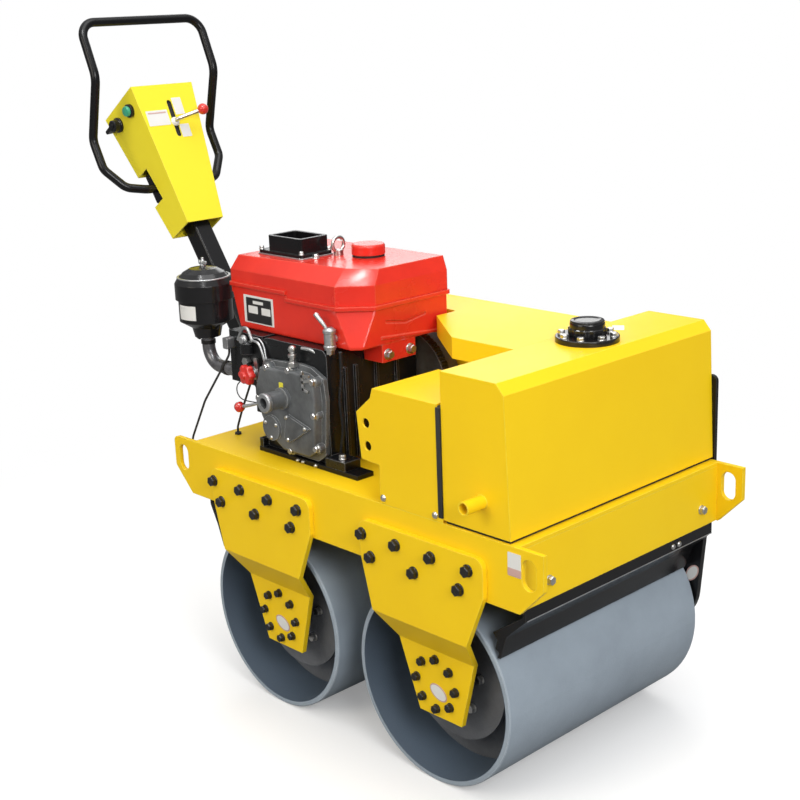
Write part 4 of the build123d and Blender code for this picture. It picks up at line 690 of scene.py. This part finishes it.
for end, axle in AXLES:
    oval_plate("hanger_oval", 44, 26, (axle + 6, LOWER_FACE, 195), (43, 0, -18), f"_{end}")
oval_plate("drive_oval", 40, 20, (446, 309, 318), (0.58, 0, 0.81))

FLAT_LABELS = [
    ("lug_label", label_film, 32, 46, (503, -335, 555)),
    ("lug_label_band", label_pink, 32, 15, (503, -335.5, 540)),
    ("data_plate_rim", label_film, 104, 63, (-344, -228, 897.5)),
    ("data_plate", label_black, 88, 55, (-343, -228.5, 896.5)),
    ("data_plate_field_rear", label_film, 33, 17, (-363, -229, 897.5)),
    ("data_plate_field_front", label_film, 31, 16, (-317.5, -229, 897)),
    ("data_plate_strip", label_film, 36, 7, (-344.5, -229, 914.5)),
    ("gear_cover_label", label_yellow, 14, 20, (-203, -290, 759)),
]
for name, coat, width, height, place in FLAT_LABELS:
    piece(name, film(width, height, mm(*place)), "frame", coat)
piece("tank_label", film(40, 24, mm(369, 141, 890), UPWARD, (31, -40, 0)), "frame", label_film)

FILTER, FILTER_WALL = (-523, -243), 62.2
WRAP_ANGLES, WRAP_HEIGHTS = (255.5, 302), (866, 899)
wrap = film_round(mm(*FILTER), FILTER_WALL / 1000, WRAP_ANGLES, mm(*WRAP_HEIGHTS))
piece("filter_label", wrap, "frame", label_film)

# %% [markdown]
# ## Controls on the console
#
# The handle leans, so its parts are placed by three numbers of its own: how far along the column,
# how far out to the front and how far across. Two slopes give the console's front and side faces.

# %% Places on the leaning handle
TILT = radians(34)
PIVOT_X, PIVOT_Y, PIVOT_Z = -540, -13.5, 541.7
PIVOT = mm(PIVOT_X, PIVOT_Y, PIVOT_Z)
COLUMN_UP = np.array((-sin(TILT), 0, cos(TILT)))
COLUMN_FRONT = np.array((cos(TILT), 0, sin(TILT)))
ACROSS = np.array((0.0, 1.0, 0.0))
CONSOLE_FOOT, FOOT_FRONT, FOOT_SIDE = 563, 44, -55
FRONT_SLOPE, SIDE_SLOPE = 64 / 358, 38 / 358
FRONT_NORMAL = COLUMN_FRONT - FRONT_SLOPE * COLUMN_UP
SIDE_NORMAL = -ACROSS - SIDE_SLOPE * COLUMN_UP


def on_column(along, out, across):
    """A place on the handle: the pivot plus the three distances along the column's own directions."""
    return PIVOT + (along * COLUMN_UP + out * COLUMN_FRONT + across * ACROSS) / 1000


def on_front(along, across, lift=0.0):
    """A place on the console's front face: it leans out by the front slope as it rises from the foot."""
    out = FOOT_FRONT + FRONT_SLOPE * (along - CONSOLE_FOOT)
    return on_column(along, out, across) + lift / 1000 * FRONT_NORMAL


def on_side(along, out):
    """A place on the console's near side face: it widens by the side slope as it rises from the foot."""
    return on_column(along, out, FOOT_SIDE - SIDE_SLOPE * (along - CONSOLE_FOOT))


print("the console's foot is at", on_front(CONSOLE_FOOT, 0).round(3))

# %% Console controls
PLASTIC = (black_moulding, "black_plastic")
SWITCH, BUTTON, LEVER = (882, -8), (881, 61), (822, 5)
POINTER_BACK = 0.013
FRONT_LABELS = [
    ("console_plate_high", label_film, 28, 45, 861.5, 28, 0.0),
    ("console_plate_low", label_film, 28, 34, 797, 28, 0.0),
    ("console_label", label_film, 64, 40, 835, -42, 0.0),
    ("console_label_band", label_pink, 54, 3.5, 848, -42, 0.5),
    ("slot_boot", rubber, 22, 104, 831, 5, -5.5),
]
for name, coat, width, height, along, across, lift in FRONT_LABELS:
    piece(name, film(width, height, on_front(along, across, lift), FRONT_NORMAL, ACROSS), "handle", coat)
socket_shape = film(34, 78, on_column(701, -18, -60), ACROSS, COLUMN_FRONT, 3, 120)
piece("loop_socket", socket_shape, "handle", black_enamel, "black_paint")
spun("lever_collar", [(0, 0), (12, 0), (11, 3), (7, 6), (0, 6)], on_front(*LEVER), FRONT_NORMAL, "handle",
     label_film)
spun("switch_body", [(0, 0), (19, 0), (19, 5), (15.5, 7), (15, 20), (13, 22.5), (0, 22.5)], on_side(*SWITCH),
     SIDE_NORMAL, "handle", *PLASTIC)
pointer = film(40, 10, on_side(*SWITCH) - POINTER_BACK * COLUMN_FRONT, SIDE_NORMAL, COLUMN_FRONT, 4, 24)
piece("switch_pointer", pointer, "handle", *PLASTIC)
spun("button_bezel", [(0, 0), (17, 0), (17, 7), (15, 9), (0, 9)], on_side(*BUTTON), SIDE_NORMAL, "handle",
     *PLASTIC)
spun("button", [(0, 8), (13, 8), (13, 14), (12, 16.5), (8, 17.5), (0, 17.8)], on_side(*BUTTON), SIDE_NORMAL,
     "handle", green_moulding)

# %% [markdown]
# ## Bolts and caps of the engine
#
# The gear cover's bolt circle, the caps on it and the small lids tell an engine from a box.
# Turned parts come from a table of profiles: each row is a radius and a height in millimetres.

# %% Engine bolts
COVER_FACE, LID_FACE = -282, -297
COVER_BOLTS = [(-102, 785), (-103, 711), (-101, 638), (-187, 617), (-257, 641), (-289, 719), (-257, 793),
               (-181, 798)]
LID_SCREWS = [(-184, 696), (-124, 681), (-182, 646)]
governor = upright_ring(-239, LID_FACE, 661, 21, evenly(3, 30))
funnel_nuts = [(-318 + side * 69, -135 + end * 40, 1024) for side in (-1, 1) for end in (-1, 1)]
foot_places = [(-50, -258, 620), (-50, -52, 620), (-306, -58, 620), (-306, -246, 620)]
ENGINE_BOLTS = [
    ("gear_cover_bolts", hex_head(0.013, 0.007, 0.0085), [(x, COVER_FACE, z) for x, z in COVER_BOLTS], NEAR),
    ("lid_screws", dome_screw(0.0045, 0.0035), [(x, LID_FACE, z) for x, z in LID_SCREWS] + governor, NEAR),
    ("engine_foot_bolts", hex_head(0.013, 0.008, 0.0085), foot_places, UPWARD),
    ("rail_nuts", dome_screw(0.0046, 0.006), [(x, -275, 595) for x in (-178, -160, -118)], NEAR),
    ("hopper_foot_bolts", hex_head(0.017, 0.010, 0.012), [(-26, -137, 829), (-26, -72, 829)], FORWARD),
    ("funnel_nuts", hex_head(0.009, 0.006, 0.006), funnel_nuts, UPWARD),
    ("lid_plug", hex_head(0.012, 0.008, 0.009), [(-236, -146, 1014)], UPWARD),
]
for name, head, places, direction in ENGINE_BOLTS:
    bolt_rows(name, head, places, direction, *BRIGHT)

# %% Caps and turned parts
TEETH, TOOTH_HEIGHT = 60, 0.015


def lobes(count, depth):
    """A wave for lathe(): the radius swells and shrinks that many times round."""
    return lambda angle: 1 + depth * np.cos(count * angle)


def gear_teeth(angle):
    """Square teeth: the radius is larger wherever the sine of the angle times the teeth is above zero."""
    return 1 + TOOTH_HEIGHT * (np.sin(TEETH * angle) > 0)


CASTING, ENGINE = (cast_enamel, "cast_grey"), (engine_enamel, "engine_black")
RED_PLASTIC, RUBBER = (red_moulding, "red_plastic"), (rubber, "black_rubber")
PUMP, COCK = (-176, -275), (-88, -244)
BAND = [(14, 0), (17, 0), (17, 9), (14, 9)]

# Columns: name, look, sides, wave, place of its foot, direction, profile of radius and height.
ROUND_PARTS = [
    ("starting_rim", ZINC, 32, None, (-196, -337, 736), NEAR,
     [(12, 0), (21, 0), (21.6, 3), (21.6, 8), (20, 10), (12, 10)]),
    ("starting_collar", CASTING, 32, None, (-196, -290, 736), NEAR, [(19, 0), (24, 0), (24, 9), (20, 11)]),
    ("pump_base", BRIGHT, 6, None, (*PUMP, 806), UPWARD,
     [(0, 0), (12, 0), (12, 9), (8, 11), (8, 17), (0, 17)]),
    ("pump_neck", BRIGHT, 20, None, (*PUMP, 822), UPWARD,
     [(0, 0), (6, 0), (6, 4), (10, 5), (10, 11), (6, 12), (6, 15), (0, 15)]),
    ("pump_knob", BRIGHT, 24, None, (*PUMP, 836), UPWARD,
     [(0, 0), (5, 0), (8.6, 4), (9.4, 8), (8, 13), (4, 16), (0, 17)]),
    ("oil_cap_neck", ZINC, 28, None, (-329, -258, 764), NEAR,
     [(0, 0), (15, 0), (15, 6), (12, 7), (12, 22), (0, 22)]),
    ("oil_cap", RED_PLASTIC, 72, lobes(6, 0.10), (-329, -276, 764), NEAR,
     [(0, 0), (19, 0), (21.5, 3), (21.5, 13), (19, 17), (9, 19), (7, 24), (0, 25)]),
    ("injector_cap", ZINC, 24, None, (-352, -268, 838), NEAR,
     [(0, 0), (11, 0), (11, 4), (8, 6), (8, 10), (0, 11)]),
    ("injector_body", ENGINE, 24, None, (-350, -262, 806), UPWARD,
     [(0, 0), (17, 0), (17, 24), (13, 28), (0, 28)]),
    ("injector_nut", BRIGHT, 6, None, (-353, -259, 787), NEAR, [(0, 0), (10, 0), (10, 12), (0, 12)]),
    ("cock_collar_top", ZINC, 28, None, (*COCK, 885), UPWARD,
     [(0, 0), (11, 0), (14, 2), (14, 8), (11, 10), (8, 13), (0, 13)]),
    ("cock_collar_low", ZINC, 28, None, (*COCK, 853), UPWARD,
     [(0, 0), (11, 0), (13.6, 2), (13.6, 6), (11, 8), (0, 8)]),
    ("cock_nut", BRIGHT, 6, None, (*COCK, 841), UPWARD, [(0, 0), (10, 0), (10, 9), (0, 9)]),
    ("fuel_cap_ring", RUBBER, 48, None, (-163, -56, 1014.1), UPWARD,
     [(31, 0), (35.5, 0), (35.5, 5), (31, 5)]),
    # A bright ring where the filter's dome meets its band: a painted highlight.
    ("filter_seam", ZINC, 64, None, (*FILTER, 956.4), UPWARD,
     [(57, 0), (61.4, 0), (61.8, 1.5), (61.4, 3), (57, 3)]),
    ("filter_stud", ZINC, 20, None, (*FILTER, 981), UPWARD,
     [(0, 0), (7, 0), (7, 4), (4, 6), (6, 9), (4, 14), (3, 20), (0, 20.5)]),
    ("elbow_band_high", DARK, 36, None, (*FILTER, 800), UPWARD, BAND),
    ("elbow_band_low", DARK, 36, None, (-459, -243, 751), FORWARD, BAND),
    ("filler_skirt", PLASTIC, 144, lobes(12, 0.035), (*FILLER, 901.2), UPWARD,
     [(30, 0), (36.6, 0), (37.4, 2), (37.4, 14), (35.6, 16), (30, 16)]),
    ("filler_top", PLASTIC, 64, None, (*FILLER, 927.4), UPWARD,
     [(20, 0), (33.4, 0), (34.4, 2), (33, 4.4), (27, 5.6), (24, 3.6), (20, 3.4)]),
]
for name, look, sides, wave, place, direction, rows in ROUND_PARTS:
    spun(name, rows, place, direction, "frame", *look, sides, wave)
spun("flywheel_teeth", [(112, 0), (119.4, 0), (119.4, 20), (112, 20)], (-128, 17, 720), FAR, "flywheel",
     *ENGINE, 360, gear_teeth)

# %% [markdown]
# ## Pipes, rods and brackets of the engine
#
# Bent rods are circles carried along a smooth curve through a few points. Where the two radii of a row
# differ, the rod tapers evenly from one to the other.

# %% Engine pipes
# Columns: name, look, radius at the start, radius at the end, points.
PIPES = [
    ("injector_frame", ZINC, 3.8, 3.8, [(-377, -266, 833), (-366, -266, 851), (-355, -266, 863),
                                        (-341, -266, 863), (-332, -266, 850), (-325, -266, 836)]),
    ("injector_pipe", ZINC, 3.0, 3.0, [(-338, -264, 834), (-320, -267, 839), (-302, -267, 835),
                                       (-292, -267, 818), (-286, -266, 799)]),
    ("injector_return", ZINC, 2.0, 2.0, [(-325, -262, 845), (-306, -262, 844), (-291, -262, 830),
                                         (-279, -266, 800)]),
    ("decompressor_wire", DARK, 1.3, 1.3, [(-338, -272, 751), (-352, -280, 748), (-365, -286, 734),
                                           (-363, -288, 716), (-345, -286, 704), (-305, -272, 700)]),
    ("speed_rod", ZINC, 4.5, 3.0, [(-350, -288, 688), (-330, -284, 693), (-300, -276, 702)]),
    ("cock_handle", ZINC, 3.4, 5.6, [(-90, -246, 889), (-99, -247, 901), (-110, -248, 911),
                                     (-124, -249, 923)]),
    ("cock_outlet", ZINC, 3.6, 3.6, [(-88, -244, 843), (-94, -248, 833), (-112, -252, 836),
                                     (-136, -258, 845), (-160, -262, 846)]),
    ("filter_hook_rear", DARK, 2.4, 2.4, [(-553, -243, 846), (-563, -243, 834), (-570, -243, 820),
                                          (-566, -243, 808), (-555, -243, 806), (-551, -243, 815)]),
    ("filter_hook_front", DARK, 2.4, 2.4, [(-494, -243, 836), (-484, -243, 840), (-474, -243, 850),
                                           (-474, -243, 862), (-484, -243, 868), (-491, -243, 861)]),
    ("crankcase_pipe", ENGINE, 4.0, 4.0, [(-70, -232, 846), (-66, -236, 790), (-72, -238, 740),
                                          (-66, -238, 680), (-74, -240, 626)]),
]
for name, look, start, end, points in PIPES:
    path = through(points)
    piece(name, pipe(path, np.linspace(start, end, len(path)) / 1000), "frame", *look)

# %% Knob, brackets and gasket
BAR_CORNER = 0.3


def bar(start, end, width, thick, y):
    """A flat bar on a near side face, between two points given by X and Z in millimetres. It is a film as
    long as their distance and one width more, turned along the line from one to the other."""
    start, end = np.array(start, float), np.array(end, float)
    middle, run = (start + end) / 2, end - start
    length, across = np.linalg.norm(run) + width, (run[0], 0, run[1])
    return film(length, width, mm(middle[0], y, middle[1]), NEAR, across, width * BAR_CORNER, thick)


spun("speed_knob", [(0, -12.5), (5, -11.5), (9.6, -8), (12.5, 0), (9.6, 8), (5, 11.5), (0, 12.5)],
     (-357, -290, 686), FORWARD, "frame", *RED_PLASTIC)
clip = join([bar((-128, 803), (-126, 768), 7, 4, -290), bar((-128, 796), (-108, 798), 6, 4, -290),
             bar((-127, 783), (-104, 790), 6, 4, -290), bar((-126, 768), (-112, 765), 6, 4, -290)])
piece("injector_strip", bar((-318, 795), (-312, 751), 11, 4, -264), "frame", *BRIGHT)
piece("oil_pipe_clip", clip, "frame", *BRIGHT)
wings = join([film(11, 8, mm(FILTER[0] + side * 9, FILTER[1], 989.5), (side * 0.35, -0.94, 0), FORWARD, 3, 3)
              for side in (-1, 1)])
piece("filter_wing_nut", wings, "frame", *ZINC)
gasket = lay(slab(rounded_outline(0.155, 0.097, 0.009), 0.003), mm(-318, -135, 1014.1), UPWARD, FORWARD)
piece("funnel_gasket", gasket, "frame", *ZINC)

# %% [markdown]
# ## The sides the photo hides
#
# The far side, the rear and the belt cover's arm follow the usual build of such machines:
# a bolted gear case, a screwed cover with cooling slots, a muffler with bands and a pinned handle bracket.

# %% Far side
CASE_FACE, BELT_FACE, PANEL_FACE = 357, 178, 317
CASE_CORNER_RING, CASE_TOP, CASE_TOP_RING = 69, 440, 48
CORNER_ANGLES, TOP_ANGLES = np.radians((-120, -70, -20, 30)), np.radians((40, 90, 140))
BELT_SCREWS = [(-312, 848), (-320, 720), (-150, 676), (40, 676), (216, 606), (306, 606), (306, 874),
               (90, 874), (-130, 874)]
front_corner = upright_ring(DRUM_AXLE, CASE_FACE, AXLE_HEIGHT, CASE_CORNER_RING, CORNER_ANGLES)
rear_corner = [(-x, y, z) for x, y, z in front_corner]
case_top = upright_ring(0, CASE_FACE, CASE_TOP, CASE_TOP_RING, TOP_ANGLES)
case_waist = [(x, CASE_FACE, z) for x, z in ((-102, 322), (102, 322), (0, 143))]
case_rim = front_corner + rear_corner + case_top + case_waist
bolt_rows("gear_case_bolts", foot_bolt, case_rim, FAR, *DARK)
case_plugs = [(0, CASE_FACE, z) for z in (400, 170)]
bolt_rows("gear_case_plugs", hex_head(0.019, 0.010, 0.014), case_plugs, FAR, *BRIGHT)
belt_screws = [(x, BELT_FACE, z) for x, z in BELT_SCREWS]
bolt_rows("belt_cover_screws", dome_screw(0.007, 0.005), belt_screws, FAR, *BRIGHT)
vents = join([film(110, 8, mm(-128, BELT_FACE, 730 + 18 * row), FAR, FORWARD, 3.9, 0.8) for row in range(7)])
piece("belt_cover_vents", vents, "frame", *RUBBER)
panel_bolts = [(x, PANEL_FACE, z) for x in (132, 474) for z in (592, 752)]
bolt_rows("guard_panel_bolts", foot_bolt, panel_bolts, FAR, *DARK)

# %% Rear
BRACKET_X, BRACKET_Z, BRACKET_HALF = -493, 525.7, 46
PIN_END = 36
bracket_bolts = [(BRACKET_X, PIVOT_Y + side * BRACKET_HALF, BRACKET_Z + end * BRACKET_HALF)
                 for side in (-1, 1) for end in (-1, 1)]
bolt_rows("handle_bracket_bolts", foot_bolt, bracket_bolts, REARWARD, *DARK)
for side, way, direction in (("near", -1, NEAR), ("far", 1, FAR)):
    spun(f"pivot_washer_{side}", [(10.2, 0), (17, 0), (17, 2.5), (10.2, 2.5)],
         (PIVOT_X, PIVOT_Y + way * PIN_END, PIVOT_Z), direction, "frame", *BRIGHT)
for name, height in (("low", 690), ("high", 782)):
    spun(f"muffler_band_{name}", [(45, 0), (48, 0), (48, 12), (45, 12)], (-366, 12, height), UPWARD, "frame",
         *BRIGHT, 64)
outlet = through([(-380, 12, 708), (-408, 12, 706), (-430, 12, 698), (-440, 12, 682)])
piece("muffler_outlet", pipe(outlet, 0.012, 24), "frame", *ENGINE)

# %% [markdown]
# ## Floor and light
#
# The object stands on a pale floor that runs out into pure white, as a paper sweep does in a studio,
# so no horizon is seen. The floor's own shadow stays near the machine. The camera sees the paper nearly
# white, while the rays that bounce off it see a darker grey, so that it doesn't light the machine from below.

# %% Floor
FLOOR_HALF, FLOOR_DROP = 15.0, 0.0005
WHITE_STARTS, WHITE_FULL = 0.9, 2.3
PAPER_SEEN, PAPER_LIGHT = 0.96, 0.26
HAZE = 0.25
corners = np.array([(-1, -1, 0), (1, -1, 0), (1, 1, 0), (-1, 1, 0)], float)
floor_points = corners * FLOOR_HALF - (0, 0, FLOOR_DROP)
floor_mesh = bpy.data.meshes.new("floor")
floor_mesh.from_pydata(floor_points.tolist(), [], [(0, 1, 2, 3)])
floor = bpy.data.objects.new("floor", floor_mesh)
bpy.context.scene.collection.objects.link(floor)
floor_finish = bpy.data.materials.new("pale_floor")
floor_finish.use_nodes = True
tree = floor_finish.node_tree
paper = tree.nodes["Principled BSDF"]
paper.inputs["Roughness"].default_value = 0.85
paper.inputs["Specular IOR Level"].default_value = 0.15
where = node(tree, "TexCoord")
flat = node(tree, "VectorMath", operation="MULTIPLY")
flat.inputs[1].default_value = (1, 1, 0)
reach = node(tree, "VectorMath", operation="LENGTH")
fade = node(tree, "MapRange", interpolation_type="SMOOTHSTEP", From_Min=WHITE_STARTS, From_Max=WHITE_FULL)
glow = node(tree, "Emission", Color=(1, 1, 1, 1), Strength=1.0)
blend = node(tree, "MixShader")
eye = node(tree, "LightPath")
tree.links.new(where.outputs["Object"], flat.inputs[0])
tree.links.new(flat.outputs[0], reach.inputs[0])
tree.links.new(reach.outputs["Value"], fade.inputs["Value"])
seen = math(tree, "MULTIPLY", eye.outputs["Is Camera Ray"], PAPER_SEEN - PAPER_LIGHT)
tree.links.new(math(tree, "ADD", seen, PAPER_LIGHT), paper.inputs["Base Color"])
whiter = math(tree, "MAXIMUM", fade.outputs["Result"], HAZE)
tree.links.new(math(tree, "MULTIPLY", whiter, eye.outputs["Is Camera Ray"]), blend.inputs["Fac"])
tree.links.new(paper.outputs["BSDF"], blend.inputs[1])
tree.links.new(glow.outputs["Emission"], blend.inputs[2])
tree.links.new(blend.outputs["Shader"], tree.nodes["Material Output"].inputs["Surface"])
floor.data.materials.append(floor_finish)
print("the floor turns white at", WHITE_FULL, "m")

# %% [markdown]
# The room's light grows from the walls to the ceiling, as in a studio. Glossy rays see darker walls,
# so that black paint keeps its contrast, and the camera sees plain white.

# %% White room
WALL_LIGHT, CEILING_LIGHT = 0.42, 0.85
WALL_GLOSS, CEILING_GLOSS = 0.22, 0.9
WALL_TOP, CEILING_STARTS = 0.15, 0.85
world = bpy.data.worlds.new("white_room")
bpy.context.scene.world = world
world.use_nodes = True
room = world.node_tree
eye = node(room, "LightPath")
sky = node(room, "TexCoord")
height = node(room, "SeparateXYZ")
room.links.new(sky.outputs["Generated"], height.inputs[0])


def by_height(low, high):
    """A strength that grows smoothly from the walls to the ceiling."""
    ramp = node(room, "MapRange", interpolation_type="SMOOTHSTEP",
                From_Min=WALL_TOP, From_Max=CEILING_STARTS, To_Min=low, To_Max=high)
    room.links.new(height.outputs["Z"], ramp.inputs["Value"])
    return ramp.outputs["Result"]


def choose(mask, first, second):
    """The second value where the mask is one, else the first: first + mask (second - first)."""
    return math(room, "ADD", first, math(room, "MULTIPLY", mask, math(room, "SUBTRACT", second, first)))


diffuse, glossy = by_height(WALL_LIGHT, CEILING_LIGHT), by_height(WALL_GLOSS, CEILING_GLOSS)
strength = choose(eye.outputs["Is Glossy Ray"], diffuse, glossy)
through_glass = math(room, "MAXIMUM", eye.outputs["Is Camera Ray"], eye.outputs["Is Transmission Ray"])
room.nodes["Background"].inputs["Color"].default_value = (1, 1, 1, 1)
room.links.new(choose(through_glass, strength, 1.0), room.nodes["Background"].inputs["Strength"])
print("the room's light goes from", WALL_LIGHT, "to", CEILING_LIGHT)

# %% [markdown]
# The strongest lamp stands in front, and larger, weaker ones at the side, above and behind. A glint is
# a small lamp that only reflections see: it puts a highlight on a round cap without lighting the paint.

# %% Lamps
# Columns: place, size, power, colour.
WHITE, WARM = (1, 1, 1), (1, 0.93, 0.80)
LAMPS = {
    "front_lamp": ((3.6, -1.6, 2.6), 1.6, 90, WHITE),
    "side_lamp": ((-0.4, -3.8, 2.4), 2.0, 52, WARM),
    "top_lamp": ((0.2, 0.2, 4.2), 2.5, 56, WHITE),
    "back_lamp": ((-2.8, 2.8, 2.6), 2.0, 30, WHITE),
    "front_glint": ((1.4, -1.9, 4.6), 0.8, 44, WHITE),
    "filter_glint": ((0.3, -1.8, 4.6), 0.6, 70, WHITE),
    "low_glint": ((2.9, -2.2, 2.2), 0.4, 10, WHITE),
}
AIM = Vector((0, 0, 0.5))
for name, (place, size, power, colour) in LAMPS.items():
    data = bpy.data.lights.new(name, "AREA")
    data.shape, data.size, data.energy, data.color = "SQUARE", size, power, colour
    lamp = bpy.data.objects.new(name, data)
    lamp.visible_diffuse = "glint" not in name
    bpy.context.scene.collection.objects.link(lamp)
    lamp.location = place
    lamp.rotation_mode = "QUATERNION"
    lamp.rotation_quaternion = (AIM - Vector(place)).to_track_quat("-Z", "Y")
bpy.context.scene.view_settings.view_transform = "Standard"
print(len(LAMPS), "lamps")
